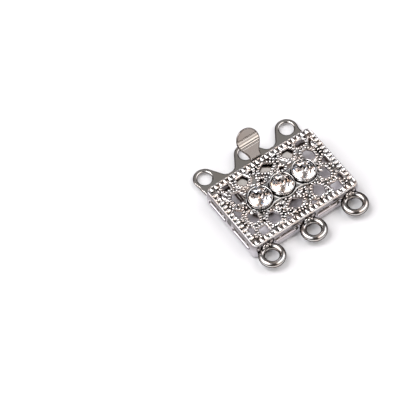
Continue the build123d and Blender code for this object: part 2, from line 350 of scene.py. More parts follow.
@dataclass
class Blank:
    """A flat region cut out of sheet, on a square grid whose edge points lie on the outline.

    The outline is where the distance is nought, and metal is where it is above nought. Lengths in capitals
    are shares of the grid's step, and FLATTEST is the least slope, squared, that a move is worked out from.
    """

    uv: Array
    edge: Array
    quads: Array
    tris: Array

    SNAP = 0.35
    PROBE = 0.02
    LONGEST_MOVE = 0.45
    FLATTEST = 0.25

    @classmethod
    def cut(cls, low: Sequence[float], high: Sequence[float], step: float, metal: Distance,
            round_u: bool = False, fine_from: float = math.inf, fine_step: float = 0.04) -> "Blank":
        """Cuts the region out of a grid.

        Args:
            low: lowest u and v of the grid.
            high: highest u and v of the grid.
            step: about how far apart the grid's points are.
            metal: distance into the metal, below nought outside it.
            round_u: whether the grid's last column is its first, as on a band.
            fine_from: the v from which the grid's rows are closer together.
            fine_step: how far apart those rows are.

        Returns:
            The blank.
        """
        nu, nv = (max(int(round((high[k] - low[k]) / step)), 2) for k in (0, 1))
        us = np.linspace(low[0], high[0], nu + 1)
        vs = np.linspace(low[1], high[1], nv + 1)
        if fine_from < high[1]:
            vs = np.concatenate([vs[vs < fine_from - fine_step], np.arange(fine_from, high[1], fine_step)])
            step = fine_step
        nodes = np.stack(np.meshgrid(us, vs, indexing="ij"), axis=-1).reshape(-1, 2)
        depth = metal(nodes)
        near = np.flatnonzero(np.abs(depth) < cls.SNAP * step)
        nodes[near] = cls._onto_edge(nodes[near], metal, step, 2)
        depth[near] = 0.0
        ids = np.arange(len(us) * len(vs)).reshape(len(us), len(vs))
        cells = np.stack([ids[:-1, :-1], ids[1:, :-1], ids[1:, 1:], ids[:-1, 1:]], axis=-1).reshape(-1, 4)
        level = depth[cells]
        quads = cells[(level >= 0).all(axis=1) & (level > 0).any(axis=1)]
        mixed = cells[(level > 0).any(axis=1) & (level < 0).any(axis=1)]
        crossings, tris = cls._trimmed(mixed, nodes, depth)
        if len(crossings):
            nodes = np.concatenate([nodes, cls._onto_edge(crossings, metal, step, 1)])
            depth = np.concatenate([depth, np.zeros(len(crossings))])
        if round_u:
            quads = cls._wrapped(quads, ids)
            tris = cls._wrapped(tris, ids)
        used, back = np.unique(np.concatenate([quads.ravel(), tris.ravel()]), return_inverse=True)
        quads = back[:quads.size].reshape(quads.shape)
        tris = back[quads.size:].reshape(-1, 3)
        whole = (tris != np.roll(tris, -1, axis=1)).all(axis=1)
        return cls(nodes[used], depth[used] == 0, quads, tris[whole])

    @staticmethod
    def _trimmed(cells: Array, nodes: Array, depth: Array) -> tuple[Array, Array]:
        """Trims the cells that the outline crosses.

        Args:
            cells: the four corners of each cell.
            nodes: the grid's points.
            depth: how deep in the metal each of them is.

        Returns:
            The points where the outline crosses the cells' sides, numbered on from the grid's points, and
            the triangles of the metal in the cells.
        """
        made: dict[tuple[int, int], int] = {}
        crossings: list[Array] = []
        tris: list[tuple[int, int, int]] = []
        for cell in cells:
            loop = []
            for k in range(4):
                a, b = int(cell[k]), int(cell[(k + 1) % 4])
                if depth[a] >= 0:
                    loop.append(a)
                if depth[a] * depth[b] < 0:
                    key = (min(a, b), max(a, b))
                    if key not in made:
                        made[key] = len(nodes) + len(crossings)
                        share = depth[a] / (depth[a] - depth[b])
                        crossings.append(nodes[a] + share * (nodes[b] - nodes[a]))
                    loop.append(made[key])
            tris += [(loop[0], loop[k], loop[k + 1]) for k in range(1, len(loop) - 1)]
        return np.array(crossings), np.array(tris, int).reshape(-1, 3)

    @classmethod
    def _onto_edge(cls, points: Array, metal: Distance, step: float, rounds: int) -> Array:
        """Moves points onto the outline against the distance's slope.

        Args:
            points: points near the outline.
            metal: distance into the metal.
            step: the grid's step.
            rounds: how many moves are made.

        Returns:
            The moved points.
        """
        probe = step * cls.PROBE
        for _ in range(rounds):
            here = metal(points)
            slope = np.stack([
                metal(points + (probe, 0)) - metal(points - (probe, 0)),
                metal(points + (0, probe)) - metal(points - (0, probe)),
            ], axis=1) / (2 * probe)
            steep = np.maximum(np.einsum("ij,ij->i", slope, slope), cls.FLATTEST)
            move = slope * (here / steep)[:, None]
            length = np.maximum(np.linalg.norm(move, axis=1) / (cls.LONGEST_MOVE * step), 1)
            points = points - move / length[:, None]
        return points

    @staticmethod
    def _wrapped(faces: Array, ids: Array) -> Array:
        """Faces with the last column's points swapped for the first column's."""
        swap = dict(zip(ids[-1].tolist(), ids[0].tolist()))
        return np.array([swap.get(i, i) for i in faces.ravel().tolist()], int).reshape(faces.shape)

    def formed(self, place: Offset, metal: Distance, upper: Offset, lower: Offset) -> Shell:
        """Gives the blank its thickness.

        Args:
            place: puts points and their offsets from the middle of the sheet into space.
            metal: distance into the metal.
            upper: offset of the upper side from points and their depths; the outline is placed by it.
            lower: offset of the lower side, which meets the upper side at the outline.

        Returns:
            A closed surface.
        """
        depth = np.maximum(metal(self.uv), 0)
        depth[self.edge] = 0
        top = place(self.uv, upper(self.uv, depth))
        inner = np.flatnonzero(~self.edge)
        under = place(self.uv[inner], lower(self.uv[inner], depth[inner]))
        twin = np.arange(len(self.uv))
        twin[inner] = len(self.uv) + np.arange(len(inner))
        quads = np.concatenate([self.quads, twin[self.quads][:, ::-1]])
        tris = np.concatenate([self.tris, twin[self.tris][:, ::-1]])
        return Shell(np.concatenate([top, under]), quads, tris)

    def choice(self, upper: Distance, lower: Distance) -> Array:
        """Numbers the finishes of the formed blank's faces.

        Args:
            upper: numbers on the upper side, from the middles of its faces.
            lower: numbers on the lower side.

        Returns:
            One number for each face, quads before triangles.
        """
        numbers = []
        for faces in (self.quads, self.tris):
            middles = self.uv[faces].mean(axis=1)
            numbers += [upper(middles), lower(middles)]
        return np.concatenate(numbers).astype(int)


# Shader nodes

Value = Union["Signal", float]


class Signal:
    """A socket's value, whose arithmetic adds Math nodes to its tree."""

    def __init__(self, bench: "Bench", socket: bpy.types.NodeSocket) -> None:
        """Wraps a socket of the bench's tree."""
        self.bench = bench
        self.socket = socket

    def _math(self, operation: str, first: Value, second: Value) -> "Signal":
        """One Math node."""
        return self.bench.add("ShaderNodeMath", {"operation": operation}, {0: first, 1: second})

    def __add__(self, other: Value) -> "Signal":
        """Sum."""
        return self._math("ADD", self, other)

    __radd__ = __add__

    def __sub__(self, other: Value) -> "Signal":
        """Difference."""
        return self._math("SUBTRACT", self, other)

    def __rsub__(self, other: Value) -> "Signal":
        """Difference from a number."""
        return self._math("SUBTRACT", other, self)

    def __mul__(self, other: Value) -> "Signal":
        """Product."""
        return self._math("MULTIPLY", self, other)

    __rmul__ = __mul__


class Bench:
    """A node tree being built."""

    def __init__(self, tree: bpy.types.NodeTree) -> None:
        """Starts from an empty tree."""
        self.tree = tree
        tree.nodes.clear()

    def add(self, kind: str, settings: Optional[dict] = None, sockets: Optional[dict] = None,
            out: Union[int, str] = 0) -> Signal:
        """Adds a node.

        Args:
            kind: the node's type.
            settings: its own settings, set before anything else.
            sockets: values or links of its inputs, by name or number.
            out: which output to give back.

        Returns:
            That output.
        """
        node = self.tree.nodes.new(kind)
        for key, value in (settings or {}).items():
            setattr(node, key, value)
        for key, value in (sockets or {}).items():
            if isinstance(value, Signal):
                self.tree.links.new(value.socket, node.inputs[key])
            else:
                node.inputs[key].default_value = value
        return Signal(self, node.outputs[out] if len(node.outputs) else None)

    def blend(self, share: Value, low: Union[Signal, Colour], high: Union[Signal, Colour]) -> Signal:
        """Mixes two colours.

        Args:
            share: how much of the second there is, from 0 to 1.
            low: the first colour.
            high: the second colour.

        Returns:
            The mixed colour.
        """
        ends = {6: low, 7: high}
        given = {k: v if isinstance(v, Signal) else (*v, 1) for k, v in ends.items()}
        return self.add("ShaderNodeMix", {"data_type": "RGBA"}, {0: share, **given}, 2)

    def place(self, stretch: Sequence[float] = (1, 1, 1)) -> Signal:
        """Places on the object, in millimetres, divided by this stretch."""
        scale = tuple(1 / (MM * s) for s in stretch)
        return self.add("ShaderNodeVectorMath", {"operation": "MULTIPLY"},
                        {0: self.add("ShaderNodeTexCoord", out="Object"), 1: scale})

    def noise(self, where: Signal, scale: float, detail: float = 2.0) -> Signal:
        """Noise with this many waves to a unit of place."""
        return self.add("ShaderNodeTexNoise", {"noise_dimensions": "3D"},
                        {"Vector": where, "Scale": scale, "Detail": detail, "Roughness": 0.5})

    def ranged(self, value: Signal, low: float, high: float, way: str = "SMOOTHSTEP") -> Signal:
        """Share of the way from a low value to a high one, kept within 0 and 1."""
        return self.add("ShaderNodeMapRange", {"interpolation_type": way}, {0: value, 1: low, 2: high})

    def bump(self, depth: float, sockets: dict) -> Signal:
        """A normal from a height that spans this many millimetres."""
        return self.add("ShaderNodeBump", {}, {"Strength": 1.0, "Distance": depth * MM, **sockets})

    def surface(self, **sockets: Union[Value, Colour]) -> Signal:
        """A Principled surface; its sockets are named with _ for a space."""
        given = {name.replace("_", " "): value for name, value in sockets.items()}
        return self.add("ShaderNodeBsdfPrincipled", {}, given)


@dataclass(frozen=True)
class Finish:
    """A finish with a name, whose material each kind makes up in its own way."""

    name: str

    def shader(self, bench: Bench) -> Signal:
        """The finish's surface shader."""
        raise NotImplementedError

    def material(self) -> bpy.types.Material:
        """Makes the finish's material.

        Returns:
            The material.
        """
        made = bpy.data.materials.new(self.name)
        made.use_nodes = True
        bench = Bench(made.node_tree)
        bench.add("ShaderNodeOutputMaterial", {}, {"Surface": self.shader(bench)})
        return made


@dataclass(frozen=True)
class Plating(Finish):
    """Plated metal, cloudy and a little uneven, with stains.

    It darkens towards its deep colour, which is painted shade: where less of the sky is open to it, as
    shade painted into hollows, creases and between parts; where it turns away from the eye, as a painted
    dark reflection at grazing angles; and, on finishes that ask for it, with height, as painted shade
    towards the top. On the recess finish the spots of its warm colour are near-black painted shade rather
    than stains.
    Haze is how much the clouds change the roughness, which stays as given where the noise is at
    haze_middle.
    """

    tint: Colour
    warm: Colour
    # The deep colour is painted shade, not a colour that the metal has.
    deep: Colour
    roughness: float
    haze: float
    wave: float
    wave_depth: float
    grain: float
    grain_depth: float
    stretch: tuple[float, float, float] = (1, 1, 1)
    cloud_detail: float = 3.0
    shade_reach: float = 0.5
    shade_low: float = 0.1
    shade_high: float = 0.75
    shade_cloud: float = 0.15
    shade_middle: float = 0.5
    haze_middle: float = 0.45
    edge: float = 0.0
    edge_low: float = 0.3
    edge_high: float = 0.68
    stain_waves: float = 0.9
    stain_low: float = 0.42
    stain_high: float = 0.62
    # How much painted shade darkens the colour with height, towards the top.
    fall: float = 0.0
    fall_from: float = 1.7
    fall_to: float = 3.0
    metallic: float = 1.0

    def shader(self, bench: Bench) -> Signal:
        """Builds the plating.

        Args:
            bench: the material's tree.

        Returns:
            The shader.
        """
        where = bench.place(self.stretch)
        cloud = bench.noise(where, 1 / self.wave, self.cloud_detail)
        fine = bench.noise(where, 1 / self.grain)
        reach = self.shade_reach * MM
        # Painted shade: where occlusion finds less open sky, the colour goes towards the deep colour.
        sky = bench.add("ShaderNodeAmbientOcclusion", {"samples": 8}, {"Distance": reach}, "AO")
        cloudy = sky + (cloud - self.shade_middle) * self.shade_cloud
        lit = bench.ranged(cloudy, self.shade_low, self.shade_high)
        # Spots of the warm colour: stains on most finishes, near-black painted shade on the recess.
        spots = bench.noise(where, self.stain_waves / self.wave)
        stain_and_shade = bench.ranged(spots, self.stain_low, self.stain_high, "LINEAR")
        # Painted dark reflection: at grazing angles the colour goes towards the deep colour.
        facing = bench.add("ShaderNodeLayerWeight", {}, {"Blend": 0.5}, "Facing")
        rim = bench.ranged(facing, self.edge_low, self.edge_high)
        colour = bench.blend(lit, self.deep, bench.blend(stain_and_shade, self.tint, self.warm))
        colour = bench.blend(rim * self.edge, colour, self.deep)
        # Painted shade with height: higher up, the colour goes towards the deep colour.
        if self.fall:
            level = bench.add("ShaderNodeSeparateXYZ", {}, {0: bench.place()}, "Z")
            height = bench.ranged(level, self.fall_from, self.fall_to, "LINEAR")
            colour = bench.blend(height * self.fall, colour, self.deep)
        low = bench.bump(self.wave_depth, {"Height": cloud})
        # The gloss's tint at grazing angles is dimmed by edge as well, as part of the painted dark
        # reflection.
        gleam = 1 - self.edge
        return bench.surface(
            Base_Color=colour, Metallic=self.metallic, Specular_Tint=(gleam, gleam, gleam, 1),
            Roughness=self.roughness + (cloud - self.haze_middle) * self.haze,
            Normal=bench.bump(self.grain_depth, {"Height": fine, "Normal": low}))


@dataclass(frozen=True)
class CutStone(Finish):
    """Clear stone with faint clouds of tint."""

    clear: Colour
    tinted: Colour
    index: float
    waves: float = 0.8

    def shader(self, bench: Bench) -> Signal:
        """The stone's shader."""
        colour = bench.blend(bench.noise(bench.place(), self.waves), self.clear, self.tinted)
        return bench.surface(Base_Color=colour, Roughness=0.0, IOR=self.index, Transmission_Weight=1.0)


@dataclass(frozen=True)
class Foil(Finish):
    """Mirror foil under a stone, with faint spots of two other tints."""

    silver: Colour
    cold: Colour
    warm: Colour
    cold_waves: float = 1.3
    cold_range: tuple[float, float] = (0.56, 0.66)
    warm_waves: float = 1.7
    warm_range: tuple[float, float] = (0.54, 0.66)
    roughness: float = 0.03

    def shader(self, bench: Bench) -> Signal:
        """Builds the foil.

        Args:
            bench: the material's tree.

        Returns:
            The shader.
        """
        where = bench.place()
        # The cold and warm spots are painted coloured glints that stand in for the stones' fire.
        cold = bench.ranged(bench.noise(where, self.cold_waves, 1.0), *self.cold_range, "LINEAR")
        warm = bench.ranged(bench.noise(where, self.warm_waves, 1.0), *self.warm_range, "LINEAR")
        colour = bench.blend(warm, bench.blend(cold, self.silver, self.cold), self.warm)
        return bench.surface(Base_Color=colour, Metallic=1.0, Roughness=self.roughness)


@dataclass(frozen=True)
class Backdrop(Finish):
    """Matt white board with faint clouds."""

    white: Colour
    cloud: Colour
    waves: float = 0.02
    roughness: float = 0.7

    def shader(self, bench: Bench) -> Signal:
        """The board's shader."""
        colour = bench.blend(bench.noise(bench.place(), self.waves), self.white, self.cloud)
        return bench.surface(Base_Color=colour, Roughness=self.roughness)


# In every plating the deep colour is painted shade: occlusion paints it into hollows and between parts, and
# edge paints it at grazing angles as a painted dark reflection. The casting's shade range turns its
# crevices near black.
CASTING = Plating(
    "plated_casting", tint=(0.90, 0.885, 0.88), warm=(0.90, 0.79, 0.72), deep=(0.03, 0.022, 0.018),
    roughness=0.09, haze=0.10, wave=0.8, wave_depth=0.03, grain=0.25, grain_depth=0.012,
    shade_low=0.36, shade_high=0.9, edge=0.5)
# On the wall, occlusion and height paint shade: it darkens towards the top.
WALL = Plating(
    "plated_wall", tint=(0.64, 0.615, 0.65), warm=(0.66, 0.62, 0.64), deep=(0.09, 0.07, 0.065),
    roughness=0.12, haze=0.10, wave=1.6, wave_depth=0.02, grain=0.3, grain_depth=0.004,
    stretch=(4, 4, 0.7), shade_reach=0.6, shade_low=0.25, fall=0.75)
# The slots' slanted recesses: spots of near-black warm colour cover most of them and leave bright specks of
# plain metal; this is painted shade.
RECESS = Plating(
    "plated_recess", tint=(0.95, 0.91, 0.88), warm=(0.10, 0.075, 0.055), deep=(0.03, 0.02, 0.015),
    roughness=0.16, haze=0.10, wave=0.35, wave_depth=0.05, grain=0.2, grain_depth=0.01,
    shade_low=0.2, shade_high=0.8, stain_low=0.34, stain_high=0.42)
# A dark grey plating for the dimples between the side slots: painted shade in the hollows.
DIMPLE_SHADE = Plating(
    "plated_dull", tint=(0.21, 0.20, 0.205), warm=(0.19, 0.18, 0.18), deep=(0.09, 0.07, 0.06),
    roughness=0.5, haze=0.10, wave=0.8, wave_depth=0.02, grain=0.3, grain_depth=0.006, shade_reach=0.3)
# A dark plating for a narrow band along the outline of the ear plate and the leaf: a painted dark outline
# of shade at their edges.
EDGE_SHADE = Plating(
    "plated_rim", tint=(0.26, 0.235, 0.22), warm=(0.22, 0.19, 0.17), deep=(0.04, 0.03, 0.025),
    roughness=0.2, haze=0.10, wave=0.8, wave_depth=0.02, grain=0.3, grain_depth=0.004,
    shade_reach=0.3, edge=0.6)
# Occlusion paints brown shade inside the box.
INSIDE = Plating(
    "plated_inside", tint=(0.98, 0.955, 0.99), warm=(0.96, 0.93, 0.965), deep=(0.12, 0.075, 0.05),
    roughness=0.6, haze=0.1, wave=2.2, wave_depth=0.02, grain=0.5, grain_depth=0.004,
    shade_reach=1.3, shade_low=0.55, shade_high=0.88, metallic=0.1)
STRIP = Plating(
    "plated_strip", tint=(0.62, 0.62, 0.62), warm=(0.62, 0.60, 0.585), deep=(0.05, 0.045, 0.04),
    roughness=0.10, haze=0.08, wave=1.5, wave_depth=0.02, grain=0.4, grain_depth=0.003, shade_reach=0.25)
CUPS = Plating(
    "plated_cup", tint=(0.86, 0.85, 0.84), warm=(0.86, 0.82, 0.78), deep=(0.08, 0.07, 0.06),
    roughness=0.06, haze=0.06, wave=1.5, wave_depth=0.02, grain=0.4, grain_depth=0.003,
    shade_reach=0.25, edge=0.5)
# Edge near 1 paints the rings' turned-away sides near black, a painted dark outline, and far-reaching
# occlusion paints shade where they near the board.
RINGS = Plating(
    "plated_ring", tint=(0.64, 0.625, 0.61), warm=(0.62, 0.55, 0.50), deep=(0.02, 0.015, 0.012),
    roughness=0.07, haze=0.06, wave=1.3, wave_depth=0.03, grain=0.35, grain_depth=0.006,
    shade_reach=2.0, shade_low=0.4, edge=0.97, edge_low=0.26, edge_high=0.58)
# Occlusion paints the leaf dark brown under the top, and edge paints a dark reflection along its
# turned-away sides.
SHEET = Plating(
    "plated_sheet", tint=(0.66, 0.635, 0.61), warm=(0.66, 0.61, 0.57), deep=(0.085, 0.058, 0.043),
    roughness=0.12, haze=0.08, wave=2.5, wave_depth=0.01, grain=0.35, grain_depth=0.002,
    stretch=(1, 3, 1), shade_reach=0.6, shade_low=0.45, shade_high=0.88,
    edge=0.85, edge_low=0.17, edge_high=0.36)
STONE = CutStone("clear_stone", clear=(1.0, 1.0, 1.0), tinted=(0.97, 0.98, 1.0), index=1.56)
# The foil's cold and warm tints are painted coloured glints of fire.
FOIL = Foil("stone_foil", silver=(0.95, 0.91, 0.88), cold=(0.62, 0.78, 1.0), warm=(0.98, 0.76, 0.62))
BOARD = Backdrop("white_board", white=(0.94, 0.94, 0.94), cloud=(0.925, 0.925, 0.93))


def linked(name: str, data: bpy.types.ID) -> bpy.types.Object:
    """Puts an object in the scene.

    Args:
        name: the object's name.
        data: its mesh, light or camera.

    Returns:
        The object.
    """
    made = bpy.data.objects.new(name, data)
    bpy.context.scene.collection.objects.link(made)
    return made


class Stage:
    """Puts meshes into the frame."""

    shift_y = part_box("box_shell")[1].y / MM - BACK
    materials: dict[str, bpy.types.Material] = {}

    @classmethod
    def finish(cls, finish: Finish) -> bpy.types.Material:
        """Gives the material of a finish, and makes it the first time.

        Args:
            finish: the finish.

        Returns:
            Its material.
        """
        if finish.name not in cls.materials:
            cls.materials[finish.name] = finish.material()
        return cls.materials[finish.name]

    @classmethod
    def place(cls, name: str, shell: Shell, finishes: Sequence[Finish],
              chosen: Optional[Array] = None) -> bpy.types.Object:
        """Makes an object of a surface, in metres.

        Args:
            name: the object's name.
            shell: its surface.
            finishes: its finishes.
            chosen: the number of each face's finish, quads before triangles; the first for all if left out.

        Returns:
            The object.
        """
        points = (shell.points + (0, cls.shift_y, 0)) * MM
        mesh = bpy.data.meshes.new(name)
        mesh.vertices.add(len(points))
        mesh.vertices.foreach_set("co", points.astype(np.float32).ravel())
        corners = np.concatenate([shell.quads.ravel(), shell.tris.ravel()]).astype(np.int32)
        counts = np.concatenate([np.full(len(shell.quads), 4), np.full(len(shell.tris), 3)])
        starts = np.concatenate([[0], np.cumsum(counts)[:-1]])
        mesh.loops.add(len(corners))
        mesh.loops.foreach_set("vertex_index", corners)
        mesh.polygons.add(len(counts))
        mesh.polygons.foreach_set("loop_start", starts.astype(np.int32))
        mesh.polygons.foreach_set("use_smooth", np.ones(len(counts), bool))
        for finish in finishes:
            mesh.materials.append(cls.finish(finish))
        if chosen is not None:
            mesh.polygons.foreach_set("material_index", chosen.astype(np.int32))
        mesh.update(calc_edges=True)
        mesh.validate()
        log.info("%s: %d triangles", name, shell.triangles())
        return linked(name, mesh)

    @classmethod
    def piece(cls, name: str, shell: Shell, finishes: Sequence[Finish], body: str, slot: str,
              chosen: Optional[Array] = None) -> bpy.types.Object:
        """Makes a piece of the clasp that rides on a body.

        Args:
            name: the piece's name.
            shell: its surface.
            finishes: its finishes.
            body: the body that it rides on.
            slot: the name of a material slot; not used.
            chosen: the number of each face's finish, as for place.

        Returns:
            The piece.
        """
        made = cls.place(name, shell, finishes, chosen)
        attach(made, body)
        return made


# The pierced top

class Form(Enum):
    """Outlines of the openings, on a square that reaches from -1 to 1."""

    KITE = ((0, 1), (1, 0), (0, -1), (-1, 0))
    POINT_OUT = ((-1, -1), (1, -1), (0, 1))
    POINT_IN = ((-1, 1), (1, 1), (0, -1))
    HEART = ((-1, 0.1), (-0.55, 1), (0.55, 1), (1, 0.1), (0.3, -1), (-0.3, -1))
    SQUARE = ((-1, -1), (1, -1), (1, 1), (-1, 1))
    DROP = ((-1, -0.3), (-0.2, -1), (0.8, -0.8), (1, 0.3), (0.4, 1), (-0.6, 0.9))
    ARROW = ((1, -1), (1, 1), (-1, 0))
    SLIVER = ((-1, -0.6), (0.2, -1), (1, -0.8), (1, 1), (-0.2, 0.8))


class Side(Enum):
    """Which part of the top something is on: the back, the front or the line between them."""

    BACK = 1
    MIDDLE = 0
    FRONT = -1

    def signs(self) -> tuple[int, ...]:
        """The signs that y takes there."""
        return (1, -1) if self is Side.MIDDLE else (self.value,)


@dataclass(frozen=True)
class Opening:
    """An opening right of the middle, as shares of the field's half length and half depth."""

    form: Form
    side: Side
    x: float
    y: float
    half_x: float
    half_y: float

    def turned(self, points: Array) -> Array:
        """Points given as if the opening were at the back, on its own side."""
        return points * (1, self.side.value or 1)


@dataclass(frozen=True)
class BeadArc:
    """A row of beads on an arc right of the middle, with its angles in degrees."""

    side: Side
    centre: tuple[float, float]
    radius: float
    start: float
    end: float
    points: int = 24

    def path(self) -> Array:
        """Points close together along the row."""
        angles = np.radians(np.linspace(self.start, self.end, self.points))
        return np.array(self.centre) + self.radius * rays(angles)


@dataclass(frozen=True)
class BeadLine:
    """A straight row of beads right of the middle."""

    side: Side
    start: tuple[float, float]
    end: tuple[float, float]

    def path(self) -> Array:
        """The ends of the row."""
        return np.array([self.start, self.end])


@dataclass(frozen=True)
class Leaf:
    """A smooth raised leaf right of the middle: its middle, half sizes and turn in degrees."""

    side: Side
    middle: tuple[float, float]
    half: tuple[float, float]
    turn: float

    def copies(self) -> list[tuple[float, float, float]]:
        """Middles and turns in radians of the leaf and its mirror images."""
        return [(sx * self.middle[0], sy * self.middle[1], sx * sy * math.radians(self.turn))
                for sy in self.side.signs() for sx in (1, -1)]


@dataclass
class PiercedTop:
    """The top sheet: openings with raised beaded wires, a rim and a ribbed border.

    A spread is the lowest and the highest share of a size that chance gives. A room is the share of a
    bead's size that it stays away from what is beside it, and a gap is the share of the pitch that beads
    keep. The pattern wanders along x by the first waves and along y by the second, and each wave has its
    radians to a millimetre of x and of y, and its phase.
    """

    half_x: float = BOX_LENGTH / 2 - FIELD_EDGE
    half_y: float = BOX_DEPTH / 2 - FIELD_EDGE
    middle: float = TOP_FACE - 0.16
    under: float = 0.2
    step: float = 0.066
    edge_round: float = 0.13
    cup_seat: float = 0.5
    opening_corner: float = 0.12
    corner_points: int = 6
    wander: float = 0.05
    wander_waves: tuple[tuple[tuple[float, float, float], ...], ...] = (
        ((1.7, 0.6, 0.4), (0.9, -2.3, 2.0)),
        ((0.7, 1.9, 1.1), (-2.1, 0.8, 0.3)),
    )
    rim_crest: float = 0.11
    rim_half: float = 0.14
    rim_round: float = 0.07
    rim_round_end: float = 0.2
    floor_start: float = 0.24
    floor_drop: float = 0.06
    wire_crest: float = 0.29
    wire_half: float = 0.23
    wire_height: float = 0.17
    bead: float = 0.22
    bead_shape: tuple[float, float, float] = (0.8, 1.3, 1.15)
    bead_spread: tuple[float, float] = (0.88, 1.12)
    bead_pitch: float = 0.48
    bead_gap: float = 0.8
    bead_level: float = TOP_FACE + 0.08
    bead_seed: int = 7
    grain: float = 0.19
    grain_low: tuple[float, float, float] = (0.9, 0.9, 0.9)
    grain_high: tuple[float, float, float] = (1.2, 1.2, 1.15)
    grain_spread: tuple[float, float] = (0.85, 1.15)
    grain_pitch: float = 0.5
    grain_gap: float = 0.9
    grain_stray: float = 0.08
    grain_level: float = TOP_FACE - 0.02
    opening_room: float = 0.66
    border_room: float = 0.7
    strip_room: float = 0.5
    leaf_height: float = 0.24
    leaf_ends: float = 0.7
    rib_pitch: float = 0.82
    rib_stray: float = 0.02
    rib_width: float = 0.74
    rib_width_spread: tuple[float, float] = (0.92, 1.05)
    rib_reach: float = 0.455
    rib_reach_spread: tuple[float, float] = (0.94, 1.06)
    rib_height: float = 0.27
    rib_level: float = TOP_FACE + 0.01
    rib_middle: float = 0.54
    rib_steps: tuple[int, int] = (8, 16)
    rib_ends: float = 0.45
    rib_flanks: float = 1.35
    rib_seed: int = 11
    ribs_long: int = 22
    ribs_short: int = 12
    openings: tuple[Opening, ...] = (
        Opening(Form.KITE, Side.BACK, 0.0, 0.785, 0.155, 0.155),
        Opening(Form.POINT_OUT, Side.BACK, 0.215, 0.53, 0.06, 0.06),
        Opening(Form.POINT_IN, Side.BACK, 0.27, 0.93, 0.06, 0.045),
        Opening(Form.HEART, Side.BACK, 0.49, 0.81, 0.115, 0.165),
        Opening(Form.SQUARE, Side.BACK, 0.79, 0.9, 0.08, 0.085),
        Opening(Form.DROP, Side.BACK, 0.765, 0.43, 0.11, 0.19),
        Opening(Form.SLIVER, Side.BACK, 0.95, 0.74, 0.04, 0.13),
        Opening(Form.ARROW, Side.MIDDLE, 0.925, 0.0, 0.065, 0.17),
        Opening(Form.KITE, Side.FRONT, 0.0, 0.66, 0.16, 0.18),
        Opening(Form.POINT_OUT, Side.FRONT, 0.235, 0.485, 0.065, 0.055),
        Opening(Form.POINT_IN, Side.FRONT, 0.275, 0.92, 0.075, 0.06),
        Opening(Form.HEART, Side.FRONT, 0.48, 0.68, 0.115, 0.18),
        Opening(Form.SQUARE, Side.FRONT, 0.78, 0.865, 0.085, 0.115),
        Opening(Form.DROP, Side.FRONT, 0.77, 0.33, 0.095, 0.19),
        Opening(Form.SLIVER, Side.FRONT, 0.95, 0.68, 0.04, 0.13),
    )
    runs: tuple[Union[BeadArc, BeadLine], ...] = (
        BeadLine(Side.FRONT, (1.35, 2.6), (2.6, 4.1)),
        BeadLine(Side.FRONT, (2.75, 2.45), (1.4, 4.1)),
        BeadLine(Side.BACK, (1.6, 3.5), (2.75, 4.5)),
        BeadLine(Side.MIDDLE, (5.3, 3.0), (5.3, 5.1)),
        BeadArc(Side.MIDDLE, (5.9, 1.6), 1.3, 100.0, 260.0),
        BeadLine(Side.MIDDLE, (8.15, 1.55), (6.3, 0.1)),
        BeadArc(Side.MIDDLE, (7.5, 2.55), 0.34, 0.0, 300.0),
        BeadLine(Side.FRONT, (8.1, 4.9), (6.9, 3.3)),
    )
    leaves: tuple[Leaf, ...] = (
        Leaf(Side.FRONT, (0.95, 4.45), (0.5, 0.3), 30.0),
        Leaf(Side.FRONT, (4.3, 4.75), (0.55, 0.28), 15.0),
        Leaf(Side.FRONT, (5.35, 4.7), (0.5, 0.28), 165.0),
        Leaf(Side.FRONT, (1.75, 2.3), (0.42, 0.26), 160.0),
        Leaf(Side.BACK, (8.0, 3.4), (0.55, 0.3), 80.0),
        Leaf(Side.BACK, (2.0, 3.3), (0.45, 0.28), 40.0),
        Leaf(Side.BACK, (3.3, 2.75), (0.45, 0.25), 10.0),
        Leaf(Side.MIDDLE, (6.2, 0.95), (0.42, 0.26), 60.0),
    )

    def __post_init__(self) -> None:
        """Works out the drawn-in corners of every opening."""
        self.cores = [(o, inset(self.corners(o), self.opening_corner)) for o in self.openings]

    def corners(self, opening: Opening) -> Array:
        """The opening's sharp corners, as if it were at the back."""
        size = (opening.half_x, opening.half_y)
        share = np.array(opening.form.value, float) * size + (opening.x, opening.y)
        return share * (self.half_x, self.half_y)

    def strayed(self, points: Array) -> Array:
        """Shifts points as the casting is a little uneven.

        Args:
            points: places on the top.

        Returns:
            Where the even pattern has them.
        """
        x, y = points[:, 0], points[:, 1]
        moves = [sum(np.sin(a * x + b * y + c) for a, b, c in waves) for waves in self.wander_waves]
        return points + self.wander / 2 * np.stack(moves, axis=1)

    def to_openings(self, points: Array) -> Array:
        """Measures to the nearest opening.

        Args:
            points: places on the top.

        Returns:
            The distances, below nought inside an opening.
        """
        where = self.strayed(points)
        where[:, 0] = np.abs(where[:, 0])
        return np.min([polygon_distance(where, opening.turned(core)) - self.opening_corner
                       for opening, core in self.cores], axis=0)

    @staticmethod
    def into_top(points: Array) -> Array:
        """Distance in from the edge of the top."""
        return -box_distance(points, (0, 0), HALF_BOX, BOX_CORNER)

    def metal(self, points: Array) -> Array:
        """Measures into the sheet, which is also open under the cups.

        Args:
            points: places on the top.

        Returns:
            The distances into the metal.
        """
        depth = np.minimum(self.into_top(points), self.to_openings(points))
        for x in STONE_XS:
            depth = np.minimum(depth, disc_distance(points, (x, 0), CUP_RADIUS - self.cup_seat))
        return depth

    def relief(self, points: Array, depth: Array) -> Array:
        """Shapes the upper side of the sheet.

        Args:
            points: places on the top.
            depth: how deep in the metal each of them is.

        Returns:
            Its height over the middle of the sheet.
        """
        rim = self.into_top(points)
        height = np.full(len(points), TOP_FACE - self.middle)
        height += self.wire_height * ridge(self.to_openings(points), self.wire_crest, self.wire_half)
        height += RELIEF / 2 * ridge(rim, self.rim_crest, self.rim_half)
        height[rim > self.floor_start] -= self.floor_drop
        return height * rounded(depth, np.where(rim < self.rim_round_end, self.rim_round, self.edge_round))

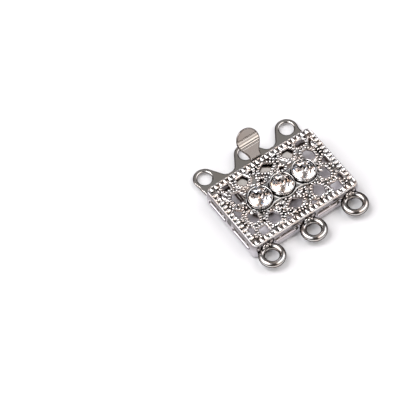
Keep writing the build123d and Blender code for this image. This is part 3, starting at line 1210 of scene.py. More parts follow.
    def sheet(self) -> tuple[Shell, Array]:
        """Makes the sheet, whose underside is painted light in front of the middle, by the pale inside
        finish.

        Returns:
            The sheet and the number of each face's finish.
        """
        half = np.array(HALF_BOX) + self.step
        blank = Blank.cut(-half, half, self.step, self.metal)
        under = rounded_side(-self.under, self.edge_round)
        # Underside faces in front of the middle take the pale inside finish, as painted light; the rest
        # keep the casting's.
        numbers = blank.choice(always(0), lambda uv: uv[:, 1] < 0)
        return blank.formed(lying(self.middle), self.metal, self.relief, under), numbers

    def outline(self, core: Array, out: float) -> Array:
        """Follows an opening's edge at a distance.

        Args:
            core: the opening's drawn-in corners.
            out: how far outside the opening.

        Returns:
            A closed path of points.
        """
        centre = core.mean(axis=0)
        points = []
        for k, here in enumerate(core):
            before, after = core[k - 1], core[(k + 1) % len(core)]
            angles = []
            for a, b in ((before, here), (here, after)):
                normal = np.array([b[1] - a[1], a[0] - b[0]])
                normal *= np.sign(normal @ (here - centre)) or 1.0
                angles.append(math.atan2(normal[1], normal[0]))
            turn = (angles[1] - angles[0] + math.pi) % FULL_TURN - math.pi
            points += [here + (self.opening_corner + out) * heading(angles[0] + share * turn)
                       for share in np.linspace(0, 1, self.corner_points)]
        return np.array(points + points[:1])

    def spaced(self, path: Array, closed: bool) -> Array:
        """Spaces beads evenly along a path.

        Args:
            path: the path's points.
            closed: whether its last point is its first.

        Returns:
            The beads' middles.
        """
        steps = np.linalg.norm(np.diff(path, axis=0), axis=1)
        length = np.concatenate([[0], np.cumsum(steps)])
        count = max(int(round(length[-1] / self.bead_pitch)), 2)
        marks = np.linspace(0, length[-1], count + 1)
        marks = marks[:-1] if closed else marks
        return np.column_stack([np.interp(marks, length, path[:, k]) for k in (0, 1)])

    def rows(self) -> list[Array]:
        """Lays out every row of beads, on both sides of the middle.

        Returns:
            The middles of each row's beads.
        """
        right = [opening.turned(self.spaced(self.outline(core, self.wire_crest), True))
                 for opening, core in self.cores]
        right += [self.spaced(run.path(), False) * (1, sign)
                  for run in self.runs for sign in run.side.signs()]
        x, y = self.half_x - self.bead, self.half_y - self.bead
        frame_path = np.array([(-x, -y), (x, -y), (x, y), (-x, y), (-x, -y)])
        return [row * (sign, 1) for row in right for sign in (1, -1)] + [self.spaced(frame_path, True)]

    def fits(self, points: Array, size: float, strip: Distance) -> Array:
        """Finds where a bead has room: on metal, off the border, the cups and the strip.

        Args:
            points: the beads' middles.
            size: their radius.
            strip: distance to the strip and the cups.

        Returns:
            Whether each has room.
        """
        room = self.to_openings(points) > self.opening_room * size
        room &= self.into_top(points) > FIELD_EDGE + self.border_room * size
        return room & (strip(points) > self.strip_room * size)

    @staticmethod
    def crowded(point: Array, placed: list[Array], gap: float) -> bool:
        """Whether a point is nearer than this to one that is placed."""
        return np.linalg.norm(np.array(placed) - point, axis=1).min() < gap

    def beads(self, strip: Distance) -> Shell:
        """Lays smooth leaves, beads along the wires, and smaller grains over what is left between them.

        Args:
            strip: distance to the strip and the cups.

        Returns:
            All of them.
        """
        rng = np.random.default_rng(self.bead_seed)
        unit, smooth = ball(2), ball(3)
        placed: list[Array] = []
        parts: list[Shell] = []
        for leaf in self.leaves:
            for x, y, turn in leaf.copies():
                parts.append(smooth.moved((x, y, TOP_FACE), (*leaf.half, self.leaf_height), turn))
                placed += [np.array([x, y]) + share * leaf.half[0] * heading(turn)
                           for share in (-self.leaf_ends, 0, self.leaf_ends)]
        for row in self.rows():
            row = 2 * row - self.strayed(row)
            room = self.fits(row, self.bead, strip)
            for point, way in zip(row[room], np.gradient(row, axis=0)[room]):
                if not self.crowded(point, placed, self.bead_gap * self.bead_pitch):
                    placed.append(point)
                    size = self.bead * rng.uniform(*self.bead_spread)
                    parts.append(unit.moved((*point, self.bead_level), size * np.array(self.bead_shape),
                                            math.atan2(way[1], way[0])))
        nx, ny = (int(2 * half / self.grain_pitch) for half in (self.half_x, self.half_y))
        seeds = np.array([[i + 0.5 * (j % 2), j] for i in range(nx + 1) for j in range(ny + 1)], float)
        seeds = seeds * self.grain_pitch - (self.half_x, self.half_y)
        seeds += rng.uniform(-self.grain_stray, self.grain_stray, seeds.shape)
        for point in seeds[self.fits(seeds, self.grain, strip)]:
            if not self.crowded(point, placed, self.grain_gap * self.grain_pitch):
                placed.append(point)
                size = self.grain * rng.uniform(*self.grain_spread)
                shape = size * rng.uniform(self.grain_low, self.grain_high)
                parts.append(unit.moved((*point, self.grain_level), shape, rng.uniform(0, FULL_TURN)))
        return Shell.joined(parts)

    def ribs(self) -> Shell:
        """Makes the ribs across the border band, on all four sides.

        Returns:
            The ribs.
        """
        bar = pillow(*self.rib_steps, ends=self.rib_ends, flanks=self.rib_flanks)
        rng = np.random.default_rng(self.rib_seed)
        stray = self.rib_stray
        parts = []
        sides = ((self.ribs_long, BACK, 0.0), (self.ribs_short, BOX_LENGTH / 2, math.pi / 2))
        for count, reach, turn in sides:
            for i in range(count):
                along = (i - (count - 1) / 2) * self.rib_pitch + rng.uniform(-stray, stray)
                for side in (-1, 1):
                    across = side * (reach - self.rib_middle)
                    where = (across, along) if turn else (along, across)
                    size = (self.rib_width / 2 * rng.uniform(*self.rib_width_spread),
                            self.rib_reach * rng.uniform(*self.rib_reach_spread), self.rib_height)
                    parts.append(bar.moved((*where, self.rib_level), size, turn))
        return Shell.joined(parts)

    def build(self, strip: Distance) -> None:
        """Makes the sheet, its beads and its ribs.

        Args:
            strip: distance to the strip and the cups.
        """
        shell, numbers = self.sheet()
        top = Stage.piece("pierced_top", shell, (CASTING, INSIDE), "box", "bright_plating", numbers)
        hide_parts("box_shell")
        Stage.piece("wire_beads", self.beads(strip), (CASTING,), "box", "bright_plating")
        Stage.piece("border_ribs", self.ribs(), (CASTING,), "box", "bright_plating")


# Walls and floor of the box

@dataclass
class Casing:
    """The bulging walls with their slots and the tongue's mouth, and the closed underside.

    Shares of the bulge go with shares of the height, and shares of the sheet go with shares of a slot's
    slant. The underside's profile gives gaps from the outline and levels.
    """

    height: float = 3.02
    sheet: float = 0.4
    step: float = 0.1
    edge_round: float = 0.12
    side_bulge: float = 0.28
    front_bulge: float = 0.12
    bulge_levels: tuple[float, ...] = (0.0, 0.45, 1.0)
    bulge_shares: tuple[float, ...] = (0.3, 1.0, 0.0)
    tuck: float = 0.05
    tuck_level: float = 2.6
    tuck_height: float = 0.4
    slant_low: float = 0.44
    slant_high: float = 0.14
    slant_turn: float = 0.2
    mouth_slant: float = 0.08
    mouth_margin: float = 0.5
    recess: float = 0.57
    recess_offsets: tuple[float, ...] = (-0.5, -0.35, 0.5)
    slot_height: float = 0.85
    slot_middle: float = 1.95
    side_slot: float = 4.1
    side_middle: float = 2.95
    front_slot: float = 3.9
    front_middle: float = 3.725
    mouth_half: float = 5.55
    mouth_low: float = 0.4
    mouth_high: float = 2.35
    mouth_corner: float = 0.2
    notch_half: float = 1.25
    notch_high: float = 2.68
    notch_corner: float = 0.1
    dimple: float = 0.12
    dimple_level: float = 2.25
    dimple_half: tuple[float, float] = (0.6, 0.75)
    # The share of the dimple's depth from which its painted shade starts.
    dimple_dull: float = 0.5
    spokes: int = 96
    profile: tuple[tuple[float, float], ...] = (
        (0.2, 0.0), (0.05, 0.03), (0.02, 0.1), (0.02, 0.3), (0.06, 0.38), (0.2, 0.4))

    def __post_init__(self) -> None:
        """Works out the lengths of the straight and round stretches of the outline."""
        self.long = BOX_LENGTH - 2 * BOX_CORNER
        self.short = BOX_DEPTH - 2 * BOX_CORNER
        self.arc = BOX_CORNER * math.pi / 2
        self.round = 2 * (self.long + self.short) + 4 * self.arc

    def outline(self, u: Array) -> tuple[Array, Array]:
        """Follows the outline.

        Args:
            u: distances round the box, from the middle of the front towards +x.

        Returns:
            The points and their outward normals.
        """
        stops = np.cumsum([self.long / 2, self.arc, self.short, self.arc, self.long, self.arc, self.short,
                           self.arc, self.long / 2])
        part = np.searchsorted(stops, np.mod(u, self.round), side="right")
        along = np.mod(u, self.round) - np.concatenate([[0], stops])[part]
        half_l, half_s = self.long / 2, self.short / 2
        points = np.zeros((len(u), 2))
        normals = np.zeros((len(u), 2))
        runs = {
            0: ((0, FRONT), (1, 0)), 2: ((BOX_LENGTH / 2, -half_s), (0, 1)), 4: ((half_l, BACK), (-1, 0)),
            6: ((-BOX_LENGTH / 2, half_s), (0, -1)), 8: ((-half_l, FRONT), (1, 0)),
        }
        bends = {1: ((half_l, -half_s), -90.0), 3: ((half_l, half_s), 0.0), 5: ((-half_l, half_s), 90.0),
                 7: ((-half_l, -half_s), 180.0)}
        for k, (start, way) in runs.items():
            here = part == k
            points[here] = np.array(start) + along[here, None] * np.array(way)
            normals[here] = (way[1], -way[0])
        for k, (centre, first) in bends.items():
            here = part == k
            ray = rays(math.radians(first) + along[here] / BOX_CORNER)
            points[here] = np.array(centre) + BOX_CORNER * ray
            normals[here] = ray
        return points, normals

    def bulge(self, z: Array) -> Array:
        """Share of the full bulge at each height, smooth through the levels of the solid."""
        fit = np.polyfit(np.array(self.bulge_levels) * TOP_FACE, np.array(self.bulge_shares), 2)
        return np.polyval(fit, z)

    def place(self, uv: Array, offset: Array) -> Array:
        """Puts points of the band round the box.

        Args:
            uv: distances round the box and heights.
            offset: how far outside the middle of the sheet they are.

        Returns:
            The points in space.
        """
        points, normals = self.outline(uv[:, 0])
        z = uv[:, 1]
        swell = self.side_bulge * normals[:, 0] ** 2
        swell += self.front_bulge * np.where(normals[:, 1] < 0, normals[:, 1] ** 2, 0)
        tuck = self.tuck * np.clip((z - self.tuck_level) / self.tuck_height, 0, 1)
        out = swell * self.bulge(z) - self.sheet / 2 - tuck + offset
        return np.column_stack([points + out[:, None] * normals, z])

    def middles(self) -> tuple[list[float], list[float], float]:
        """Places the slots and the mouth.

        Returns:
            Distances round the box of the side slots, the front slots and the mouth.
        """
        right = self.long / 2 + self.arc + self.short / 2
        back = right + self.short / 2 + self.arc + self.long / 2
        left = back + self.long / 2 + self.arc + self.short / 2
        sides = [m + s * self.side_middle for m in (right, left) for s in (-1, 1)]
        return sides, [self.front_middle, self.round - self.front_middle], back

    def to_slots(self, uv: Array) -> Array:
        """Measures to the nearest slot, or to the mouth or its notch.

        Args:
            uv: distances round the box and heights.

        Returns:
            The distances.
        """
        sides, fronts, back = self.middles()
        radius = self.slot_height / 2
        low = self.mouth_low
        mouths = ((self.mouth_half, self.mouth_high, self.mouth_corner),
                  (self.notch_half, self.notch_high, self.notch_corner))
        gaps = [box_distance(uv, (back, (low + high) / 2), (half, (high - low) / 2), corner)
                for half, high, corner in mouths]
        slots = [(m, self.side_slot) for m in sides] + [(m, self.front_slot) for m in fronts]
        gaps += [box_distance(uv, (middle, self.slot_middle), (length / 2, radius), radius)
                 for middle, length in slots]
        return np.min(gaps, axis=0)

    def to_edge(self, uv: Array) -> Array:
        """Distance to the upper or lower edge of the band."""
        return np.minimum(uv[:, 1], self.height - uv[:, 1])

    def metal(self, uv: Array) -> Array:
        """Distance into the metal of the band."""
        return np.minimum(self.to_edge(uv), self.to_slots(uv))

    def slant(self, uv: Array) -> Array:
        """Says how far a slot's slanted edge reaches: wide under it, narrow over it and over the mouth.

        Args:
            uv: distances round the box and heights.

        Returns:
            The reaches.
        """
        at_mouth = np.abs(uv[:, 0] - self.middles()[2]) < self.mouth_half + self.mouth_margin
        high = np.where(at_mouth, self.mouth_slant, self.slant_high)
        share = np.interp(uv[:, 1] - self.slot_middle, (-self.slant_turn, self.slant_turn), (0, 1))
        return self.slant_low + share * (high - self.slant_low)

    def hollow(self, uv: Array) -> Array:
        """Dimples each side between its slots.

        Args:
            uv: distances round the box and heights.

        Returns:
            The share of the dimple's full depth.
        """
        sides = self.middles()[0]
        share = np.zeros(len(uv))
        for first, second in (sides[:2], sides[2:]):
            away = (uv - ((first + second) / 2, self.dimple_level)) / self.dimple_half
            share += np.exp(-np.einsum("ij,ij->i", away, away) ** 2)
        return share

    def outer(self, uv: Array, depth: Array) -> Array:
        """Shapes the outer side: slanted slot edges, and a dimple between the side slots.

        Args:
            uv: distances round the box and heights.
            depth: how deep in the metal they are, which isn't needed here.

        Returns:
            The offsets from the middle of the sheet.
        """
        share = np.interp(self.to_slots(uv) / self.slant(uv), (0, self.recess, 1), self.recess_offsets)
        edge = self.sheet * (rounded(np.maximum(self.to_edge(uv), 0), self.edge_round) - 0.5)
        return np.minimum(self.sheet * share, edge) - self.dimple * self.hollow(uv)

    def inner(self, uv: Array, depth: Array) -> Array:
        """Offset of the flat inner side."""
        return np.full(len(uv), -self.sheet / 2)

    def outer_finish(self, uv: Array) -> Array:
        """Number of the finish outside: 1 in the recess of a slot, 2 in a dimple and 0 elsewhere."""
        # Both of these are painted shade: the recess finish is near black with bright specks, the dimple
        # finish dark grey.
        recessed = self.to_slots(uv) < self.recess * self.slant(uv)
        return np.where(recessed, 1, np.where(self.hollow(uv) > self.dimple_dull, 2, 0))

    def walls(self) -> tuple[Shell, Array]:
        """Makes the band of the four walls.

        Returns:
            The band and the number of each face's finish.
        """
        blank = Blank.cut((0, -self.step), (self.round, self.height + self.step), self.step, self.metal,
                          round_u=True)
        shell = blank.formed(self.place, self.metal, self.outer, self.inner)
        return shell, blank.choice(self.outer_finish, always(3))

    def underside(self) -> Shell:
        """Makes the closed sheet under the box, with rounded edges.

        Returns:
            The sheet.
        """
        points, normals = self.outline(np.arange(self.spokes) * self.round / self.spokes)
        rings = [np.column_stack([points - gap * normals, np.full(self.spokes, level)])
                 for gap, level in self.profile]
        return capped(rings, ((0, 0, self.profile[0][1]), (0, 0, self.profile[-1][1])))

    def build(self) -> None:
        """Makes the walls and the underside."""
        shell, numbers = self.walls()
        Stage.piece("box_walls", shell, (WALL, RECESS, DIMPLE_SHADE, INSIDE), "box", "bright_plating", numbers)
        Stage.piece("box_underside", self.underside(), (INSIDE,), "box", "bright_plating")


# Settings

@dataclass(frozen=True)
class FacetRing:
    """Equal facets round a stone, each through a point at this radius and level, and tilted in degrees."""

    count: int
    tilt: float
    turn: float
    radius: float
    level: float


@dataclass
class Stone:
    """A round brilliant cut, clear above its girdle and foiled below.

    Tilts and the pavilion are in degrees, table and break_share are shares of the radius, and the facets
    just under the girdle tilt by steeper times the pavilion.
    """

    radius: float = 1.65
    sides: int = 16
    girdle: float = 4.1
    half_girdle: float = 0.06
    crown: float = 0.45
    table: float = 0.56
    break_tilt: float = 46.0
    break_share: float = 0.98
    bezel_tilt: float = 37.0
    star_tilt: float = 20.0
    pavilion: float = 32.0
    steeper: float = 1.08
    foil_slope: float = -0.1
    slack: float = 1e-6

    def rings(self) -> tuple[FacetRing, ...]:
        """Lists the rings of facets; those under the girdle have tilts above 90.

        Returns:
            Every ring.
        """
        r, g = self.radius, self.half_girdle
        return (
            FacetRing(16, self.break_tilt, 0.5, self.break_share * r, g),
            FacetRing(8, self.bezel_tilt, 0.0, r, g),
            FacetRing(8, self.star_tilt, 1.0, self.table * r, g + self.crown),
            FacetRing(16, 180 - self.steeper * self.pavilion, 0.5, self.break_share * r, -g),
            FacetRing(8, 180 - self.pavilion, 0.0, r, -g),
        )

    def cut(self, bm: bmesh.types.BMesh, ring: FacetRing, number: int) -> None:
        """Grinds one facet.

        Args:
            bm: the stone so far.
            ring: the ring that the facet belongs to.
            number: its number in the ring.
        """
        angle = FULL_TURN * (ring.turn / self.sides + number / ring.count)
        lean = math.radians(ring.tilt)
        outward = (math.sin(lean) * math.cos(angle), math.sin(lean) * math.sin(angle), math.cos(lean))
        start = (ring.radius * math.cos(angle), ring.radius * math.sin(angle), ring.level)
        everything = bm.verts[:] + bm.edges[:] + bm.faces[:]
        made = bmesh.ops.bisect_plane(bm, geom=everything, dist=self.slack, plane_co=start,
                                      plane_no=outward, clear_outer=True)
        rim = [e for e in made["geom_cut"] if isinstance(e, bmesh.types.BMEdge)]
        bmesh.ops.edgenet_fill(bm, edges=rim)

    def mesh(self, name: str, x: float) -> bpy.types.Object:
        """Cuts one stone.

        Args:
            name: the object's name.
            x: its place along the strip.

        Returns:
            The stone, flat shaded, with its foil on the facets that face down.
        """
        depth = self.radius * math.tan(math.radians(self.pavilion)) + self.half_girdle
        top = self.half_girdle + self.crown
        middle = Matrix.Translation((0, 0, (top - depth) / 2))
        bm = bmesh.new()
        bmesh.ops.create_cone(bm, cap_ends=True, segments=self.sides, radius1=self.radius,
                              radius2=self.radius, depth=top + depth, matrix=middle)
        for ring in self.rings():
            for number in range(ring.count):
                self.cut(bm, ring, number)
        bmesh.ops.recalc_face_normals(bm, faces=bm.faces[:])
        for face in bm.faces:
            face.material_index = int(face.normal.z < self.foil_slope)
        place = Matrix.Translation((x * MM, Stage.shift_y * MM, self.girdle * MM)) @ Matrix.Scale(MM, 4)
        bmesh.ops.transform(bm, matrix=place, verts=bm.verts[:])
        mesh = bpy.data.meshes.new(name)
        bm.to_mesh(mesh)
        bm.free()
        mesh.materials.append(Stage.finish(STONE))
        mesh.materials.append(Stage.finish(FOIL))
        return linked(name, mesh)


@dataclass
class Settings:
    """Three cups on a scalloped strip, with the stones in them."""

    stone: Stone = field(default_factory=Stone)
    spokes: int = 72
    cup_low: float = 2.8
    cup_top: float = 4.24
    cup_hole: float = 0.05
    foot_bevel: float = 0.1
    flank_levels: tuple[float, ...] = (3.4, 3.8)
    wall: float = 0.16
    lip_points: int = 9
    seat_low: float = 2.93
    seat_in: float = 0.03
    seat_down: float = 0.05
    girdle: float = 4.02
    strip_half: float = 1.8
    strip_corner: float = 0.1
    strip_low: float = 2.95
    strip_high: float = 3.52
    strip_round: float = 0.14
    collar: float = 0.22
    waist: float = 0.4
    groove: float = 0.06
    step: float = 0.1
    grid_half: float = 2.4
    grid_margin: float = 0.4

    def cup(self, x: float) -> Shell:
        """Makes one cup, with a rounded lip and a cone for the stone.

        Args:
            x: its place along the strip.

        Returns:
            The cup.
        """
        lip = self.wall / 2
        middle = CUP_RADIUS - lip
        inner = CUP_RADIUS - self.wall
        profile = [
            (self.cup_hole, self.cup_low), (CUP_RADIUS - self.foot_bevel, self.cup_low),
            (CUP_RADIUS, self.cup_low + self.foot_bevel),
            *((CUP_RADIUS, level) for level in self.flank_levels),
            *((middle + lip * math.cos(a), self.cup_top - lip + lip * math.sin(a))
              for a in np.radians(np.linspace(0, 180, self.lip_points))),
            (inner, self.girdle), (inner - self.seat_in, self.girdle - self.seat_down),
            (self.cup_hole, self.seat_low),
        ]
        return lathe(profile, self.spokes).moved((x, 0, 0))

    def strip_outside(self, points: Array) -> Array:
        """Measures to the strip and the cups, in plan.

        Args:
            points: places on the top.

        Returns:
            The distances.
        """
        shape = box_distance(points, (0, 0), (STONE_XS[-1], self.strip_half), self.strip_corner)
        for x in STONE_XS:
            shape = smooth_union(shape, disc_distance(points, (x, 0), CUP_RADIUS + self.collar), self.waist)
        return shape

    def strip_metal(self, points: Array) -> Array:
        """Measures into the strip, which is open round the cups.

        Args:
            points: places on the top.

        Returns:
            The distances into the metal.
        """
        depth = -self.strip_outside(points)
        for x in STONE_XS:
            depth = np.minimum(depth, disc_distance(points, (x, 0), CUP_RADIUS + self.groove))
        return depth

    def strip(self) -> Shell:
        """Makes the strip between and round the cups.

        Returns:
            The strip.
        """
        half = (self.strip_high - self.strip_low) / 2
        reach = np.array([STONE_XS[-1] + CUP_RADIUS + self.grid_margin, self.grid_half])
        blank = Blank.cut(-reach, reach, self.step, self.strip_metal)
        return blank.formed(lying((self.strip_low + self.strip_high) / 2), self.strip_metal,
                            rounded_side(half, self.strip_round), rounded_side(-half, self.strip_round))

    def build(self) -> None:
        """Makes the cups and the strip, and dresses the stones."""
        cups = Shell.joined(self.cup(x) for x in STONE_XS)
        Stage.piece("stone_cups", cups, (CUPS,), "box", "bright_plating")
        Stage.piece("cup_strip", self.strip(), (STRIP,), "box", "bright_plating")
        for name, x in zip(("stone_left", "stone_middle", "stone_right"), STONE_XS):
            gem = self.stone.mesh(name + "_cut", x)
            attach(gem, "box")
            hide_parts(name)
            log.info("%s: cut stone in place", name)


# Loops

@dataclass(frozen=True)
class BossBead:
    """A bead on a loop's boss: its way along the wall and out of it, its level and its radius."""

    x: float
    out: float
    level: float
    radius: float


@dataclass
class Loops:
    """Three rings at the front, each with a beaded boss where it meets the wall."""

    radius: float = 1.545
    wire: float = 0.505
    spokes: int = 72
    sides: int = 20
    level: float = 1.4
    reach: float = 1.6
    boss_out: float = 0.12
    boss_level: float = 1.7
    boss_half: tuple[float, float, float] = (0.8, 0.32, 0.85)
    boss_steps: tuple[int, int] = (10, 16)
    boss_round: float = 0.8
    beads: tuple[BossBead, ...] = (
        BossBead(-0.55, 0.32, 2.15, 0.24), BossBead(0.0, 0.38, 2.4, 0.27), BossBead(0.55, 0.32, 2.15, 0.24),
        BossBead(-0.85, 0.25, 1.6, 0.24), BossBead(0.85, 0.25, 1.6, 0.24))

    def ring(self, x: float) -> Shell:
        """Makes one ring with its boss.

        Args:
            x: its place along the box.

        Returns:
            The ring.
        """
        angles = np.arange(self.sides) * FULL_TURN / self.sides
        profile = [(self.radius + self.wire * math.cos(a), self.wire * math.sin(a)) for a in angles]
        boss = pillow(*self.boss_steps, ends=self.boss_round, flanks=self.boss_round)
        bead = ball(3)
        parts = [lathe(profile, self.spokes).moved((x, FRONT - self.reach, self.level)),
                 boss.moved((x, FRONT - self.boss_out, self.boss_level), self.boss_half)]
        parts += [bead.moved((x + b.x, FRONT - b.out, b.level), b.radius) for b in self.beads]
        return Shell.joined(parts)

    def build(self) -> None:
        """Makes the rings."""
        for name, x in zip(("loop_left", "loop_middle", "loop_right"), STRAND_XS):
            Stage.piece(name, self.ring(x), (RINGS,), "box", "bright_plating")


# Tongue

@dataclass(frozen=True)
class Groove:
    """A groove across the tab: where its upper lip is, and its depths on the way down from the lip."""

    lip: float
    profile: tuple[tuple[float, float], ...]


@dataclass
class Tongue:
    """The folded tongue: the lower leaf with its ears, and the spring leaf with the thumb tab.

    Tilts are in degrees. An overlap is how far one shape reaches into the next before they are joined.
    """

    thick: float = 0.35
    width: float = 10.8
    nose: float = 1.2
    step: float = 0.09
    fold_y: float = -0.9
    fold_z: float = 0.95
    fold_radius: float = 0.325
    fold_overlap: float = 0.6
    fold_corner: float = 0.02
    tilt: float = 9.605
    ear_y: float = 9.2
    ear_radius: float = 1.775
    hole_radius: float = 1.1
    foot: float = 2.97
    foot_overlap: float = 0.3
    bar_half: float = 8.95
    bar_front: float = 6.3
    bar_back: float = 7.9
    bar_overlap: float = 0.5
    bar_corner: float = 0.05
    valley: float = 0.55
    edge_round: float = 0.2
    head_round: float = 0.16
    plate_rim: float = 0.12
    plate_grid: float = 9.5
    leaf_rim: float = 0.2
    leaf_length: float = 6.593
    leaf_corner: float = 0.15
    leaf_grid: tuple[tuple[float, float], ...] = ((-5.6, -0.1), (5.6, 12.9))
    fine_from: float = 9.0
    seam: float = 0.02
    neck_length: float = 0.66
    neck_half: float = 1.0
    neck_overlap: float = 1.0
    bend_radius: float = 0.525
    tab_tilt: float = 50.0
    tab_reach: float = 3.1
    head_radius: float = 1.925
    flare: float = 0.9
    grooves: tuple[Groove, ...] = (
        Groove(2.80, ((0.0, 0.0), (0.03, 0.14), (0.14, 0.14), (0.17, 0.05), (0.33, -0.005), (0.36, 0.15),
                      (0.56, 0.15), (0.60, 0.0))),
        Groove(3.78, ((0.0, 0.0), (0.03, 0.24), (0.27, 0.24), (0.30, 0.13), (0.55, 0.09), (0.68, 0.08),
                      (0.98, 0.0))),
    )

    def __post_init__(self) -> None:
        """Works out the neck's bend: how far it turns, and where it starts and ends on the flat leaf."""
        self.bend = math.radians(self.tab_tilt - self.tilt)
        self.bend_start = self.leaf_length + self.neck_length
        self.bend_end = self.bend_start + self.bend_radius * self.bend

    def tangent(self, x: float, toe: float, side: int) -> Array:
        """Finds where the flank from a toe touches an ear's eye.

        Args:
            x: the ear's place along the box.
            toe: the toe's place.
            side: 1 for the ear's right flank and -1 for its left.

        Returns:
            The point.
        """
        centre = np.array([x, self.ear_y])
        away = np.array([toe, self.bar_back]) - centre
        turn = math.acos(self.ear_radius / np.linalg.norm(away))
        facing = math.atan2(away[1], away[0])
        found = [centre + self.ear_radius * heading(facing + s * turn) for s in (-1, 1)]
        return max(found, key=lambda p: side * p[0])

    def ear(self, points: Array, x: float) -> Array:
        """Measures to one ear: its eye on a foot that widens towards the bar.

        Args:
            points: places on the flat plate.
            x: the ear's place along the box.

        Returns:
            The distances.
        """
        left = max(x - self.foot, -self.bar_half)
        right = min(x + self.foot, self.bar_half)
        low = self.bar_back - self.foot_overlap
        corners = np.array([(left, low), (right, low), (right, self.bar_back), self.tangent(x, right, 1),
                            self.tangent(x, left, -1), (left, self.bar_back)])
        eye = disc_distance(points, (x, self.ear_y), self.ear_radius)
        return np.minimum(eye, polygon_distance(points, corners))

    def plate_outline(self, points: Array) -> Array:
        """Measures into the lower leaf, its bar and its ears, laid flat and without the holes.

        Args:
            points: places on the flat plate.

        Returns:
            The distances into the metal.
        """
        shape = box_distance(points, (0, (self.bar_front + self.bar_back) / 2),
                             (self.bar_half, (self.bar_back - self.bar_front) / 2), self.bar_corner)
        for x in STRAND_XS:
            shape = smooth_union(shape, self.ear(points, x), self.valley)
        leaf_end = self.bar_front + self.bar_overlap
        middle = (self.fold_y + leaf_end) / 2
        leaf = box_distance(points, (0, middle), (self.width / 2, leaf_end - middle), self.nose, 0.0)
        start = self.fold_y - self.fold_radius * math.radians(180 - self.tilt)
        end = self.fold_y + self.fold_overlap
        fold = box_distance(points, (0, (start + end) / 2), (self.width / 2 - self.nose, (end - start) / 2),
                            self.fold_corner)
        return -np.min([shape, leaf, fold], axis=0)

    def plate_metal(self, points: Array) -> Array:
        """Measures into the lower leaf with its holes.

        Args:
            points: places on the flat plate.

        Returns:
            The distances into the metal.
        """
        depth = self.plate_outline(points)
        for x in STRAND_XS:
            depth = np.minimum(depth, disc_distance(points, (x, self.ear_y), self.hole_radius))
        return depth

    def plate_place(self, uv: Array, offset: Array) -> Array:
        """Bends the flat blank of the lower leaf round its fold.

        Args:
            uv: places on the flat plate.
            offset: how far above the middle of the sheet they are.

        Returns:
            The points in space.
        """
        turn = np.maximum(self.fold_y - uv[:, 1], 0) / self.fold_radius
        normal = np.column_stack([np.sin(turn), np.cos(turn)])
        bent = np.array([self.fold_y, self.fold_z]) - (self.fold_radius - offset)[:, None] * normal
        bent[:, 0] += np.maximum(uv[:, 1] - self.fold_y, 0)
        return np.column_stack([uv[:, 0], bent])

    def leaf_metal(self, points: Array) -> Array:
        """Measures into the spring leaf, its neck and the thumb tab, laid flat.

        Args:
            points: places on the flat leaf.

        Returns:
            The distances into the metal.
        """
        end = self.leaf_length
        middle = (self.seam + end) / 2
        shape = box_distance(points, (0, middle), (self.width / 2, (end - self.seam) / 2), self.nose,
                             self.leaf_corner)
        start = end - self.neck_overlap
        head_at = self.bend_end + self.tab_reach
        stalk = box_distance(points, (0, (start + head_at) / 2),
                             (self.neck_half, (head_at - start) / 2), 0.0)
        head = disc_distance(points, (0, head_at), self.head_radius)
        return -np.minimum(shape, smooth_union(stalk, head, self.flare))

    def leaf_place(self, uv: Array, offset: Array) -> Array:
        """Bends the flat blank of the spring leaf at the neck.

        Args:
            uv: places on the flat leaf.
            offset: how far above the middle of the sheet they are.

        Returns:
            The points in space.
        """
        tilt = math.radians(self.tilt)
        straight = np.minimum(uv[:, 1], self.bend_start)
        turn = np.clip((uv[:, 1] - self.bend_start) / self.bend_radius, 0, self.bend)
        after = np.maximum(uv[:, 1] - self.bend_end, 0)
        way = heading(tilt)
        up = np.array([-way[1], way[0]])
        ahead = rays(tilt + turn)
        normal = np.column_stack([-ahead[:, 1], ahead[:, 0]])
        path = np.array([self.fold_y, self.fold_z]) + up * self.fold_radius + straight[:, None] * way
        path = path + self.bend_radius * (up - normal) + after[:, None] * ahead
        return np.column_stack([uv[:, 0], path + offset[:, None] * normal])

    def leaf_top(self, uv: Array, depth: Array) -> Array:
        """Shapes the leaf's upper side: two stepped grooves cross the tab.

        Args:
            uv: places on the flat leaf.
            depth: how deep in the metal they are.

        Returns:
            The offsets from the middle of the sheet.
        """
        height = np.full(len(uv), self.thick / 2)
        for groove in self.grooves:
            places, drops = np.transpose(groove.profile)
            height -= np.interp(groove.lip - (uv[:, 1] - self.bend_end), places, drops)
        return height * rounded(depth, self.head_round)

    def build(self) -> None:
        """Makes both leaves."""
        low = self.fold_y - self.fold_radius * math.pi - self.step
        reach = self.ear_y + self.ear_radius + self.step
        plate = Blank.cut((-self.plate_grid, low), (self.plate_grid, reach), self.step, self.plate_metal)
        upper, under = (rounded_side(side * self.thick / 2, self.edge_round) for side in (1, -1))
        shell = plate.formed(self.plate_place, self.plate_metal, upper, under)
        # A narrow band of the upper side along the outline takes the dark edge finish: painted shade at the
        # sheet's edge.
        numbers = plate.choice(lambda uv: self.plate_outline(uv) < self.plate_rim, always(0))
        made = Stage.piece("ear_plate", shell, (SHEET, EDGE_SHADE), "tongue", "sheet_plating", numbers)
        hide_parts("tongue_plate")
        leaf = Blank.cut(*self.leaf_grid, self.step, self.leaf_metal, fine_from=self.fine_from)
        shell = leaf.formed(self.leaf_place, self.leaf_metal, self.leaf_top, under)
        # A narrow band of the leaf's upper side along its outline takes the dark edge finish: painted shade
        # at its edge.
        numbers = leaf.choice(lambda uv: self.leaf_metal(uv) < self.leaf_rim, always(0))
        made = Stage.piece("thumb_leaf", shell, (SHEET, EDGE_SHADE), "leaf", "sheet_plating", numbers)
        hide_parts("spring_leaf")


# Studio

def direction(azimuth: float, elevation: float) -> Vector:
    """The unit vector at these degrees; azimuth 0 is +y and 90 is +x."""
    a, e = math.radians(azimuth), math.radians(elevation)
    return Vector((math.sin(a) * math.cos(e), math.cos(a) * math.cos(e), math.sin(e)))


